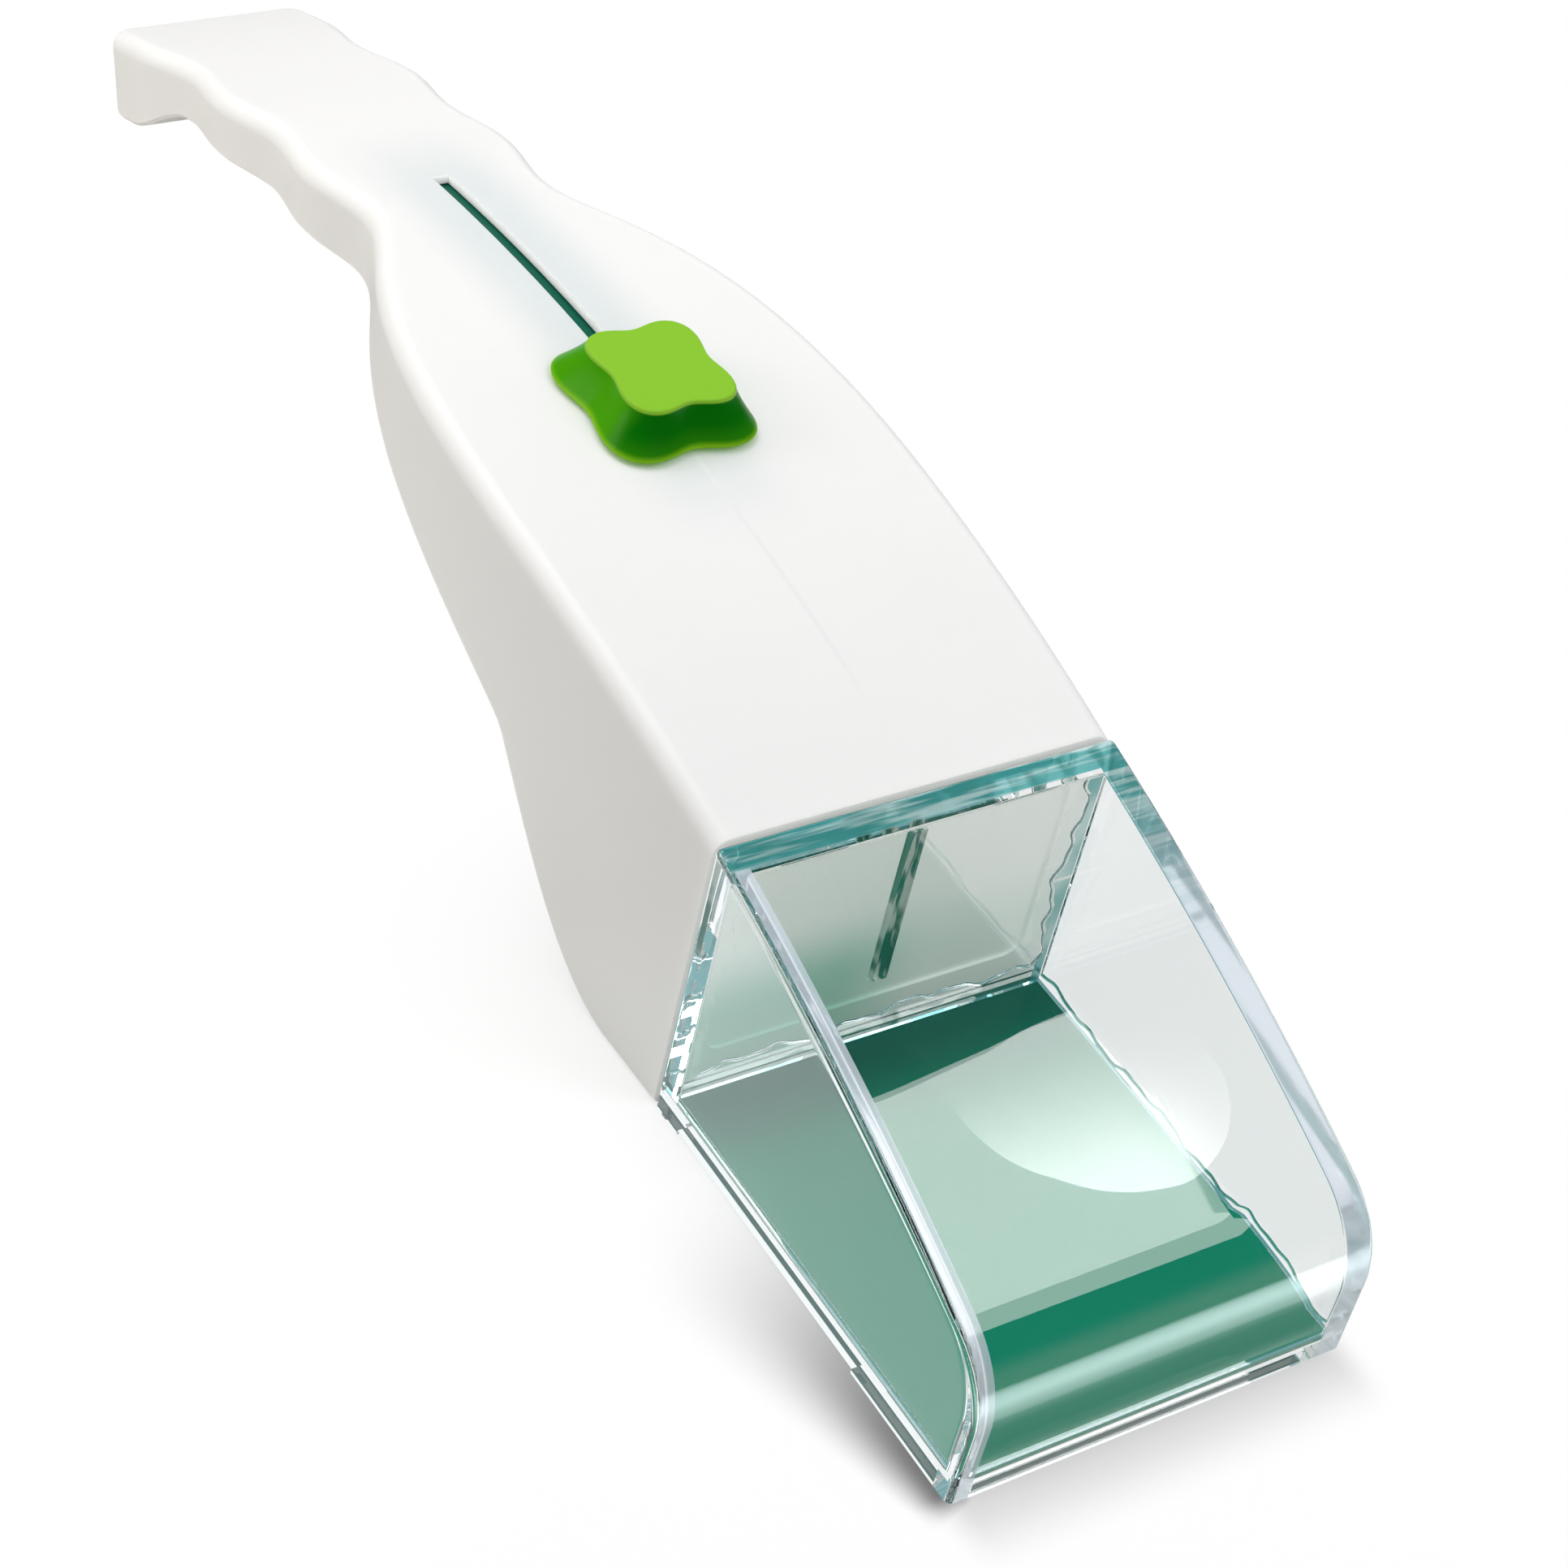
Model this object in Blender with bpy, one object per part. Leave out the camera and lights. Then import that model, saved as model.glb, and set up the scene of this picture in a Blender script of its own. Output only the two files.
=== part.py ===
"""Spider catcher: a clear trap box on a hollow grip, closed by a film that a thumb slider pulls back.

Metres, +Z up. X runs across the catcher and Y from the front of the box to the end of the grip.
Shapes are written in the body's frame, where Y = 0 is the joint between box and body and Z = 0 is
the rim of the box. The empty "spider_catcher" moves that frame to the middle of the whole length.

The tops of box and body are one arc about a pivot far below them. The slider and the film's tongue turn
about that pivot, so they stay under the curved top all the way along the slot.
"""

import math

import bmesh
import bpy
from mathutils import Matrix, Vector

# Clearances
GAP = 0.0003
RUNNING_GAP = 0.0004
OVERLAP = 0.0010

# Clear hood
HOOD_WIDTH = 0.0640
HOOD_LENGTH = 0.0726
HOOD_STEP_DOWN = 0.00025
HOOD_FRONT_RADIUS = 0.0140
HOOD_WALL = 0.0030
HOOD_EDGE_RADIUS = 0.0010
HOOD_LEDGE_REACH = 0.0020
HOOD_RELIEF_FRONT = 0.0500
HOOD_RELIEF_REAR = 0.0060
HOOD_RELIEF_HEIGHT = 0.0008
HOOD_BEAD_REACH = 0.0010
HOOD_BEAD_HEIGHT = 0.0010
HOOD_RIB_WIDTH = 0.0024
HOOD_RIB_REACH = 0.0018
HOOD_RIB_BOTTOM = 0.0130
HOOD_RIB_HEADROOM = 0.0035
HOOD_GROOVE_DEPTH = 0.0012
HOOD_LUG_X = 0.0170
HOOD_LUG_WIDTH = 0.0100
HOOD_LUG_REACH = 0.0080
HOOD_LUG_THICKNESS = 0.0018

# White body: top arc and plan
BODY_LENGTH = 0.2208
CREST_Y = 0.0910
CREST_Z = 0.0586
ARC_RADIUS = 0.3860
BODY_WALL = 0.0014
BODY_EDGE_RADIUS = 0.0028
RIM_CHAMFER = 0.0006
SHOULDER_Y = 0.0550
SHOULDER_SWELL = 0.0010
NECK_Y = 0.1330
NECK_HALF_WIDTH = 0.0160
SHOULDER_PULL = 0.0600
NECK_PULL = 0.0140
GRIP_WAVE_PITCH = 0.0296
GRIP_WAVE_HEIGHT = 0.0019
GRIP_WAVES = 3
END_RADIUS = 0.0040

# White body: underside
HEEL_LENGTH = 0.0130
HEEL_PULL = 0.0140
KNEE_Y = 0.0497
KNEE_Z = 0.0263
KNEE_RISE = 1.03
KNEE_PULL_BELOW = 0.0097
KNEE_PULL_ABOVE = 0.0023
GRIP_ROOT_Y = 0.1220
GRIP_ROOT_DEPTH = 0.0120
GRIP_ROOT_PULL = 0.0220
GRIP_ROOT_DROP = 0.0010
GRIP_END_DEPTH = 0.0092
LIP_SETBACK = 0.0268
LIP_LENGTH = 0.0170
LIP_DROP = 0.0050

# Back plate and cover
PLATE_THICKNESS = 0.0020
PLATE_CORNER = 0.0022
PANEL_SIDE_MARGIN = 0.0051
PANEL_TOP_MARGIN = 0.0020
PANEL_BOTTOM_MARGIN = 0.0048
PANEL_RADIUS = 0.0030
PANEL_DEPTH = 0.0005
COVER_THICKNESS = 0.0020
COVER_SCREW_Y = 0.1140
COVER_SCREW_INSET = 0.0020
REAR_SCREW_SETBACK = 0.0103
BOSS_RADIUS = 0.0032
WELL_RADIUS = 0.0044
WELL_HEIGHT = 0.0050
WELL_FLOOR = 0.0018
SCREW_HEAD_RADIUS = 0.0028
SCREW_HEAD_HEIGHT = 0.0018
SCREW_SHANK_RADIUS = 0.0012
SCREW_SHANK_LENGTH = 0.0055
SCREW_CROSS_WIDTH = 0.0008
SCREW_CROSS_DEPTH = 0.0009

# Green film
FILM_THICKNESS = 0.0006
FILM_HEIGHT = 0.0030
FILM_CEILING = 0.0014
FILM_BEND_Y = 0.0060
FILM_LOWER_RADIUS = 0.0220
FILM_UPPER_RADIUS = 0.0260
FILM_CLIMB = math.radians(62.0)
LEAF_STOP_GAP = 0.0026
TONGUE_HALF_WIDTH = 0.0080
TONGUE_PAST_SLOT = 0.0100
WEB_TAPER_START = 0.0060
WEB_TAPER_LENGTH = 0.0140

# Film guides
GUIDE_THICKNESS = 0.0024
GUIDE_START_Y = 0.0185
GUIDE_PAST_CLIMB = 0.0083
GUIDE_BAND = 0.0035
GUIDE_GROOVE_WIDTH = 0.0016

# Slider
SLIDER_Y = 0.0740
SLIDER_BASE_RADIUS = 0.0129
SLIDER_LOBE = 0.149
SLIDER_LENGTH_RATIO = 1.07
SLIDER_TOP_RATIO = 0.725
SLIDER_FLARE = 1.25
SLIDER_HEIGHT = 0.0062
SLIDER_EDGE_RADIUS = 0.0007
SLOT_REAR_Y = 0.1380
SLOT_WIDTH = 0.0028
STEM_LENGTH = 0.0080
STEM_BARB_REACH = 0.0008
STEM_BARB_HEIGHT = 0.0016
FOOT_WIDTH = 0.0140
FOOT_LENGTH = 0.0160
FOOT_THICKNESS = 0.0020

# Fineness of the round shapes
BODY_STATIONS = 46
EDGE_STEPS = 5
ROUND_STEPS = 20
LOBE_STEPS = 64
CURVE_STEPS = 12

# Places that follow from the sizes above
HALF_HOOD = HOOD_WIDTH / 2
SHOULDER_HALF_WIDTH = HALF_HOOD + SHOULDER_SWELL
LIP_START_Y = BODY_LENGTH - LIP_SETBACK
REAR_SCREW_Y = BODY_LENGTH - REAR_SCREW_SETBACK
PIVOT = Vector((0.0, CREST_Y, CREST_Z - ARC_RADIUS))
FILM_TOP_RADIUS = ARC_RADIUS - BODY_WALL - FILM_CEILING + FILM_THICKNESS
FILM_HALF_WIDTH = HALF_HOOD - HOOD_WALL + HOOD_GROOVE_DEPTH - RUNNING_GAP
LEAF_FRONT_Y = HOOD_WALL - HOOD_GROOVE_DEPTH + RUNNING_GAP - HOOD_LENGTH
MOUTH_TOP = FILM_HEIGHT - FILM_THICKNESS / 2 - RUNNING_GAP
FILM_ROOF = FILM_HEIGHT + FILM_THICKNESS / 2 + RUNNING_GAP


def mix(a, b, share):
    return a + (b - a) * share


def smooth_step(share):
    share = min(max(share, 0.0), 1.0)
    return share * share * (3.0 - 2.0 * share)


def bezier(points, t):
    """Point of a cubic curve with four (y, value) control points."""
    a, b, c, d = (Vector(p) for p in points)
    u = 1.0 - t
    return a * u**3 + b * (3 * u * u * t) + c * (3 * u * t * t) + d * t**3


def bezier_value(points, y):
    """Second coordinate of a cubic curve where its first one, which only grows, is y."""
    low, high = 0.0, 1.0
    for _ in range(40):
        middle = (low + high) / 2
        if bezier(points, middle)[0] < y:
            low = middle
        else:
            high = middle
    return bezier(points, (low + high) / 2)[1]


# Shape of the white body


def arc_angle(y):
    """Angle about the pivot, from the crest towards the grip, of the top arc's point at y."""
    return math.asin((y - CREST_Y) / ARC_RADIUS)


def arc_height(y):
    return PIVOT.z + ARC_RADIUS * math.cos(arc_angle(y))


def half_width(y):
    """Half the body's width: a swell to the shoulder, a neck, then finger waves along the grip."""
    if y <= SHOULDER_Y:
        return mix(HALF_HOOD, SHOULDER_HALF_WIDTH, math.sin(max(y, 0.0) / SHOULDER_Y * math.pi / 2))
    if y <= NECK_Y:
        shoulder = (
            (SHOULDER_Y, SHOULDER_HALF_WIDTH),
            (SHOULDER_Y + SHOULDER_PULL, SHOULDER_HALF_WIDTH),
            (NECK_Y - NECK_PULL, NECK_HALF_WIDTH),
            (NECK_Y, NECK_HALF_WIDTH),
        )
        return bezier_value(shoulder, y)
    waves = min((y - NECK_Y) / GRIP_WAVE_PITCH, GRIP_WAVES - 0.5)
    return NECK_HALF_WIDTH + GRIP_WAVE_HEIGHT * (1.0 - math.cos(2 * math.pi * waves)) / 2


def underside_height(y):
    """Height of the underside from the flat heel up to the root of the grip."""
    if y <= HEEL_LENGTH:
        return 0.0
    knee = Vector((KNEE_Y, KNEE_Z))
    rise = Vector((1.0, KNEE_RISE))
    if y <= KNEE_Y:
        heel = ((HEEL_LENGTH, 0.0), (HEEL_LENGTH + HEEL_PULL, 0.0), knee - rise * KNEE_PULL_BELOW, knee)
        return bezier_value(heel, y)
    root = Vector((GRIP_ROOT_Y, arc_height(GRIP_ROOT_Y) - GRIP_ROOT_DEPTH))
    belly = (knee, knee + rise * KNEE_PULL_ABOVE, root - Vector((GRIP_ROOT_PULL, GRIP_ROOT_DROP)), root)
    return bezier_value(belly, y)


def underside_depth(y):
    """How far the underside lies below the top, along the section at y."""
    if y <= GRIP_ROOT_Y:
        return arc_height(y) - underside_height(y)
    slim = mix(GRIP_ROOT_DEPTH, GRIP_END_DEPTH, (y - GRIP_ROOT_Y) / (LIP_START_Y - GRIP_ROOT_Y))
    slim = max(slim, GRIP_END_DEPTH)
    return slim + LIP_DROP * smooth_step((y - LIP_START_Y) / LIP_LENGTH)


def end_rounding(y):
    """How far the rounded end of the grip has drawn in at y."""
    past = max(y - (BODY_LENGTH - END_RADIUS), 0.0)
    return END_RADIUS - math.sqrt(max(END_RADIUS**2 - past**2, 0.0))


def side(y):
    return half_width(y) - end_rounding(y)


def rim_depth(y):
    return underside_depth(y) - end_rounding(y)


def rear_reach():
    """Y of the hindmost point of the rounded end, which leans back with its section."""
    return max((section_frame(y) @ Vector((0.0, 0.0, -end_rounding(y)))).y for y in body_stations())


def section_frame(y):
    """Frame on the top arc: local -Z goes down the section, upright to the crest and radial after it."""
    lean = max(arc_angle(y), 0.0)
    return Matrix.Translation((0.0, y, arc_height(y))) @ Matrix.Rotation(-lean, 4, "X")


def section_ring(y, outline):
    frame = section_frame(y)
    return [frame @ Vector((x, 0.0, -depth)) for x, depth in outline]


def trough_outline(half, top, rim, radius, chamfer):
    """Upside-down U from the left rim over the top to the right rim, as (x, depth)."""
    left = []
    if chamfer > 0.0:
        left.append((-half + chamfer, rim))
    left.append((-half, rim - chamfer))
    for step in range(EDGE_STEPS + 1):
        turn = step / EDGE_STEPS * math.pi / 2
        left.append((-half + radius * (1 - math.cos(turn)), top + radius * (1 - math.sin(turn))))
    return left + [(-x, depth) for x, depth in reversed(left)]


def body_stations():
    straight = BODY_LENGTH - END_RADIUS
    along = [straight * i / (BODY_STATIONS - 1) for i in range(BODY_STATIONS)]
    rounded = [straight + END_RADIUS * math.sin(i / EDGE_STEPS * math.pi / 2) for i in range(1, EDGE_STEPS + 1)]
    return along + rounded


# Path of the film


def film_turns():
    """Where the film's lower bend ends, how long its climb is, and where it meets the top arc."""
    along = Vector((math.cos(FILM_CLIMB), math.sin(FILM_CLIMB)))
    right = Vector((math.sin(FILM_CLIMB), -math.cos(FILM_CLIMB)))
    lower_end = Vector((FILM_BEND_Y, FILM_HEIGHT + FILM_LOWER_RADIUS)) + right * FILM_LOWER_RADIUS
    start = lower_end + right * FILM_UPPER_RADIUS - PIVOT.yz
    reach = FILM_TOP_RADIUS - FILM_UPPER_RADIUS
    half_b = start.dot(along)
    climb = -half_b + math.sqrt(half_b**2 - start.length_squared + reach**2)
    upper_centre = start + along * climb
    meeting = math.atan2(upper_centre.x, upper_centre.y)
    return lower_end, climb, meeting


LOWER_END, CLIMB_LENGTH, MEETING_ANGLE = film_turns()
LOWER_LENGTH = FILM_LOWER_RADIUS * FILM_CLIMB
UPPER_LENGTH = FILM_UPPER_RADIUS * (FILM_CLIMB + MEETING_ANGLE)
WEB_END = FILM_BEND_Y + LOWER_LENGTH + CLIMB_LENGTH + UPPER_LENGTH


def film_point(distance):
    """Point (y, z) and heading of the film, by distance along it behind the joint of box and body."""
    if distance <= FILM_BEND_Y:
        return Vector((distance, FILM_HEIGHT)), 0.0
    distance -= FILM_BEND_Y
    if distance <= LOWER_LENGTH:
        turn = distance / FILM_LOWER_RADIUS
        bend = Vector((math.sin(turn), 1 - math.cos(turn))) * FILM_LOWER_RADIUS
        return Vector((FILM_BEND_Y, FILM_HEIGHT)) + bend, turn
    distance -= LOWER_LENGTH
    along = Vector((math.cos(FILM_CLIMB), math.sin(FILM_CLIMB)))
    if distance <= CLIMB_LENGTH:
        return LOWER_END + along * distance, FILM_CLIMB
    turn = FILM_CLIMB - (distance - CLIMB_LENGTH) / FILM_UPPER_RADIUS
    bend = Vector((math.sin(FILM_CLIMB) - math.sin(turn), math.cos(turn) - math.cos(FILM_CLIMB)))
    return LOWER_END + along * CLIMB_LENGTH + bend * FILM_UPPER_RADIUS, turn


def film_offset(distance, off):
    """Point beside the film's path: positive off is on the upper, front side."""
    point, heading = film_point(distance)
    return point + Vector((-math.sin(heading), math.cos(heading))) * off


def film_distance_at(y):
    """Distance along the lower bend at which the film has come back to y."""
    return FILM_BEND_Y + FILM_LOWER_RADIUS * math.asin((y - FILM_BEND_Y) / FILM_LOWER_RADIUS)


# Building blocks


def new_material(name, colour, roughness, metallic=0.0, transmission=0.0):
    material = bpy.data.materials.new(name)
    material.use_nodes = True
    shader = material.node_tree.nodes["Principled BSDF"]
    shader.inputs["Base Color"].default_value = (*colour, 1.0)
    shader.inputs["Roughness"].default_value = roughness
    shader.inputs["Metallic"].default_value = metallic
    shader.inputs["Transmission Weight"].default_value = transmission
    return material


def new_empty(name, location, parent=None):
    empty = bpy.data.objects.new(name, None)
    empty.location = location
    empty.parent = parent
    bpy.context.scene.collection.objects.link(empty)
    return empty


def new_object(name, shape, parent, material=None):
    """Object from a bmesh, with its faces turned outwards."""
    bmesh.ops.recalc_face_normals(shape, faces=shape.faces)
    mesh = bpy.data.meshes.new(name)
    shape.to_mesh(mesh)
    shape.free()
    piece = bpy.data.objects.new(name, mesh)
    piece.parent = parent
    if material is not None:
        mesh.materials.append(material)
        mesh.shade_smooth()
        mesh.set_sharp_from_angle(angle=math.radians(35))
    bpy.context.scene.collection.objects.link(piece)
    return piece


def combine(piece, tool, operation):
    """Leaves tool as a wire helper that a Boolean adds to piece or takes from it."""
    tool.hide_render = True
    tool.display_type = "WIRE"
    boolean = piece.modifiers.new(tool.name, "BOOLEAN")
    boolean.operation = operation
    boolean.object = tool


def loft(rings):
    """Closed solid through rings of equal length, capped at both ends."""
    shape = bmesh.new()
    rows = [[shape.verts.new(point) for point in ring] for ring in rings]
    count = len(rows[0])
    for first, second in zip(rows, rows[1:]):
        for i in range(count):
            shape.faces.new((first[i], first[(i + 1) % count], second[(i + 1) % count], second[i]))
    shape.faces.new(rows[0])
    shape.faces.new(reversed(rows[-1]))
    return shape


def box(low, high):
    """Block between two corners."""
    (x0, y0, z0), (x1, y1, z1) = low, high
    corners = ((x0, y0), (x1, y0), (x1, y1), (x0, y1))
    return loft([[Vector((x, y, z)) for x, y in corners] for z in (z0, z1)])


def slab(profile, x0, x1):
    """Profile of (y, z) points pushed across from x0 to x1."""
    return loft([[Vector((x, y, z)) for y, z in profile] for x in (x0, x1)])


def rod(radius, bottom, top):
    rings = []
    for z in (bottom, top):
        turns = [2 * math.pi * i / ROUND_STEPS for i in range(ROUND_STEPS)]
        rings.append([Vector((radius * math.cos(a), radius * math.sin(a), z)) for a in turns])
    return loft(rings)


# Clear hood


def hood_profile(inset, bottom):
    """Side outline of the hood, drawn in by inset: back, arched top, round front corner, front wall."""
    back = -inset
    front = inset - HOOD_LENGTH
    top_radius = ARC_RADIUS - HOOD_STEP_DOWN - inset
    front_radius = HOOD_FRONT_RADIUS - inset
    centre_y = front + front_radius
    back_angle = math.asin((back - CREST_Y) / top_radius)
    front_angle = math.asin((centre_y - CREST_Y) / (top_radius - front_radius))
    centre_z = PIVOT.z + (top_radius - front_radius) * math.cos(front_angle)
    outline = [(back, bottom)]
    for step in range(CURVE_STEPS + 1):
        angle = mix(back_angle, front_angle, step / CURVE_STEPS)
        outline.append((CREST_Y + top_radius * math.sin(angle), PIVOT.z + top_radius * math.cos(angle)))
    for step in range(1, CURVE_STEPS + 1):
        turn = mix(math.pi / 2 - front_angle, math.pi, step / CURVE_STEPS)
        outline.append((centre_y + front_radius * math.cos(turn), centre_z + front_radius * math.sin(turn)))
    outline.append((front, bottom))
    return outline


def build_hood(parent, material):
    hood = new_object("clear_hood", slab(hood_profile(0.0, 0.0), -HALF_HOOD, HALF_HOOD), parent, material)
    edges = hood.modifiers.new("edges", "BEVEL")
    edges.width = HOOD_EDGE_RADIUS
    edges.segments = 2
    edges.limit_method = "ANGLE"
    edges.angle_limit = math.radians(40)

    inner = HALF_HOOD - HOOD_WALL
    ledge = inner - HOOD_LEDGE_REACH
    below = -OVERLAP
    chamber = slab(hood_profile(HOOD_WALL, MOUTH_TOP), -inner, inner)
    combine(hood, new_object("hood_chamber_cut", chamber, parent), "DIFFERENCE")
    mouth = box(
        (-ledge, HOOD_WALL + HOOD_LEDGE_REACH - HOOD_LENGTH, below),
        (ledge, OVERLAP, MOUTH_TOP + OVERLAP),
    )
    combine(hood, new_object("hood_mouth_cut", mouth, parent), "DIFFERENCE")
    groove = inner + HOOD_GROOVE_DEPTH
    film_groove = box(
        (-groove, HOOD_WALL - HOOD_GROOVE_DEPTH - HOOD_LENGTH, MOUTH_TOP), (groove, OVERLAP, FILM_ROOF)
    )
    combine(hood, new_object("hood_film_groove", film_groove, parent), "DIFFERENCE")
    film_exit = box((-inner, -HOOD_WALL - OVERLAP, MOUTH_TOP), (inner, OVERLAP, FILM_ROOF + OVERLAP))
    combine(hood, new_object("hood_film_exit_cut", film_exit, parent), "DIFFERENCE")

    for name, sign in (("left", -1), ("right", 1)):
        near, far = sorted((sign * (ledge - OVERLAP), sign * (HALF_HOOD + OVERLAP)))
        relief = box((near, -HOOD_RELIEF_FRONT, below), (far, -HOOD_RELIEF_REAR, HOOD_RELIEF_HEIGHT))
        combine(hood, new_object("hood_relief_" + name, relief, parent), "DIFFERENCE")

    rib_half = HOOD_RIB_WIDTH / 2
    rib = box((-rib_half, -OVERLAP, HOOD_RIB_BOTTOM), (rib_half, HOOD_RIB_REACH, rib_top()))
    combine(hood, new_object("hood_rib", rib, parent), "UNION")
    lug_half = HOOD_LUG_WIDTH / 2
    for name, sign in (("left", -1), ("right", 1)):
        near, far = sorted((sign * (inner - HOOD_BEAD_REACH), sign * (inner + OVERLAP)))
        bead = box((near, HOOD_WALL - HOOD_LENGTH, FILM_ROOF), (far, OVERLAP - HOOD_WALL, FILM_ROOF + HOOD_BEAD_HEIGHT))
        combine(hood, new_object("hood_bead_" + name, bead, parent), "UNION")
        lug = box(
            (sign * HOOD_LUG_X - lug_half, -OVERLAP, lug_top() - HOOD_LUG_THICKNESS),
            (sign * HOOD_LUG_X + lug_half, HOOD_LUG_REACH, lug_top()),
        )
        combine(hood, new_object("hood_lug_" + name, lug, parent), "UNION")
    return hood


def lug_top():
    """Top of the lugs that reach in under the shell's roof."""
    return arc_height(0.0) - BODY_WALL - RUNNING_GAP


def rib_top():
    return lug_top() - HOOD_LUG_THICKNESS - HOOD_RIB_HEADROOM


# White pieces


def build_shell(parent, material):
    """Upside-down trough with a closed rear end; its slot and screw bosses are added to it."""
    shell_shape = bmesh.new()
    inner_scale = (BODY_LENGTH - BODY_WALL) / BODY_LENGTH
    outer_rows = []
    inner_rows = []
    for station in body_stations():
        y = station + GAP * (1 - station / BODY_LENGTH)
        outer = trough_outline(side(y), end_rounding(y), rim_depth(y), BODY_EDGE_RADIUS, RIM_CHAMFER)
        outer_rows.append([shell_shape.verts.new(p) for p in section_ring(y, outer)])
        y = GAP + (y - GAP) * inner_scale
        inner = trough_outline(
            side(y) - BODY_WALL,
            BODY_WALL + end_rounding(y),
            rim_depth(y),
            BODY_EDGE_RADIUS - BODY_WALL,
            0.0,
        )
        inner_rows.append([shell_shape.verts.new(p) for p in section_ring(y, inner)])
    for rows in (outer_rows, inner_rows):
        for first, second in zip(rows, rows[1:]):
            for i in range(len(first) - 1):
                shell_shape.faces.new((first[i], first[i + 1], second[i + 1], second[i]))
        shell_shape.faces.new(rows[-1])
    for rim in (0, -1):
        for i in range(len(outer_rows) - 1):
            outer_pair = (outer_rows[i][rim], outer_rows[i + 1][rim])
            inner_pair = (inner_rows[i + 1][rim], inner_rows[i][rim])
            shell_shape.faces.new(outer_pair + inner_pair)
    shell_shape.faces.new((outer_rows[-1][0], outer_rows[-1][-1], inner_rows[-1][-1], inner_rows[-1][0]))
    front_edges = []
    for front in (outer_rows[0], inner_rows[0]):
        front_edges += [shell_shape.edges.get(pair) for pair in zip(front, front[1:])]
    bmesh.ops.bridge_loops(shell_shape, edges=front_edges)
    shell = new_object("body_shell", shell_shape, parent, material)

    slot_front = SLIDER_Y - STEM_LENGTH / 2 - GAP
    slot_bottom = min(arc_height(slot_front), arc_height(SLOT_REAR_Y)) - BODY_WALL - OVERLAP
    slot = box(
        (-SLOT_WIDTH / 2, slot_front, slot_bottom),
        (SLOT_WIDTH / 2, SLOT_REAR_Y, CREST_Z + OVERLAP),
    )
    combine(shell, new_object("slot_cut", slot, parent), "DIFFERENCE")
    for name, frame, depth in screw_places():
        boss_foot = depth - WELL_HEIGHT - GAP
        boss = rod(BOSS_RADIUS, -boss_foot, -BODY_WALL / 2)
        bmesh.ops.transform(boss, matrix=frame, verts=boss.verts)
        combine(shell, new_object("boss_" + name, boss, parent), "UNION")
        pilot = rod(SCREW_SHANK_RADIUS + GAP, -boss_foot - OVERLAP, screw_tip(depth) + GAP)
        bmesh.ops.transform(pilot, matrix=frame, verts=pilot.verts)
        combine(shell, new_object("pilot_" + name, pilot, parent), "DIFFERENCE")
    return shell


def screw_places():
    """Name, frame on the top arc and underside depth of each cover screw."""
    beside = cover_half_width(COVER_SCREW_Y) - WELL_RADIUS - COVER_SCREW_INSET
    for name, x, y in (
        ("left", -beside, COVER_SCREW_Y),
        ("right", beside, COVER_SCREW_Y),
        ("rear", 0.0, REAR_SCREW_Y),
    ):
        yield name, section_frame(y) @ Matrix.Translation((x, 0.0, 0.0)), rim_depth(y)


def screw_seat(depth):
    """Height, in a screw's frame, of the face under its head."""
    return -(depth - WELL_HEIGHT + WELL_FLOOR)


def screw_tip(depth):
    return screw_seat(depth) - GAP + SCREW_SHANK_LENGTH


def rounded_corners(half, bottom, top, radius):
    """Outline (x, z) of an upright rectangle with round corners."""
    outline = []
    centres = (
        (half - radius, top - radius),
        (radius - half, top - radius),
        (radius - half, bottom + radius),
        (half - radius, bottom + radius),
    )
    for quarter, (x, z) in enumerate(centres):
        for step in range(EDGE_STEPS + 1):
            turn = (quarter + step / EDGE_STEPS) * math.pi / 2
            outline.append((x + radius * math.cos(turn), z + radius * math.sin(turn)))
    return outline


def build_back_plate(parent, material):
    """Wall behind the hood: a sunk panel, a slit for the hood's rib and notches for its lugs."""
    half = side(0.0) - BODY_WALL - GAP
    top = arc_height(0.0) - BODY_WALL - GAP
    bottom = FILM_ROOF + OVERLAP
    corners = (
        (-half, bottom),
        (half, bottom),
        (half, top - PLATE_CORNER),
        (half - PLATE_CORNER, top),
        (-half + PLATE_CORNER, top),
        (-half, top - PLATE_CORNER),
    )
    front, back = GAP, GAP + PLATE_THICKNESS
    plate = new_object(
        "back_plate",
        loft([[Vector((x, y, z)) for x, z in corners] for y in (front, back)]),
        parent,
        material,
    )
    panel = rounded_corners(
        half - PANEL_SIDE_MARGIN,
        bottom + PANEL_BOTTOM_MARGIN,
        lug_top() - HOOD_LUG_THICKNESS - PANEL_TOP_MARGIN,
        PANEL_RADIUS,
    )
    sunk = loft([[Vector((x, y, z)) for x, z in panel] for y in (front - OVERLAP, front + PANEL_DEPTH)])
    combine(plate, new_object("plate_panel", sunk, parent), "DIFFERENCE")
    slit_half = HOOD_RIB_WIDTH / 2 + GAP
    slit = box(
        (-slit_half, front - OVERLAP, HOOD_RIB_BOTTOM - GAP),
        (slit_half, back + OVERLAP, rib_top() + GAP),
    )
    combine(plate, new_object("plate_slit", slit, parent), "DIFFERENCE")
    notch_half = HOOD_LUG_WIDTH / 2 + GAP
    for name, sign in (("left", -1), ("right", 1)):
        notch = box(
            (sign * HOOD_LUG_X - notch_half, front - OVERLAP, lug_top() - HOOD_LUG_THICKNESS - GAP),
            (sign * HOOD_LUG_X + notch_half, back + OVERLAP, top + OVERLAP),
        )
        combine(plate, new_object("plate_notch_" + name, notch, parent), "DIFFERENCE")
    return plate


def cover_half_width(y):
    return side(y) - BODY_WALL - GAP


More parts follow.
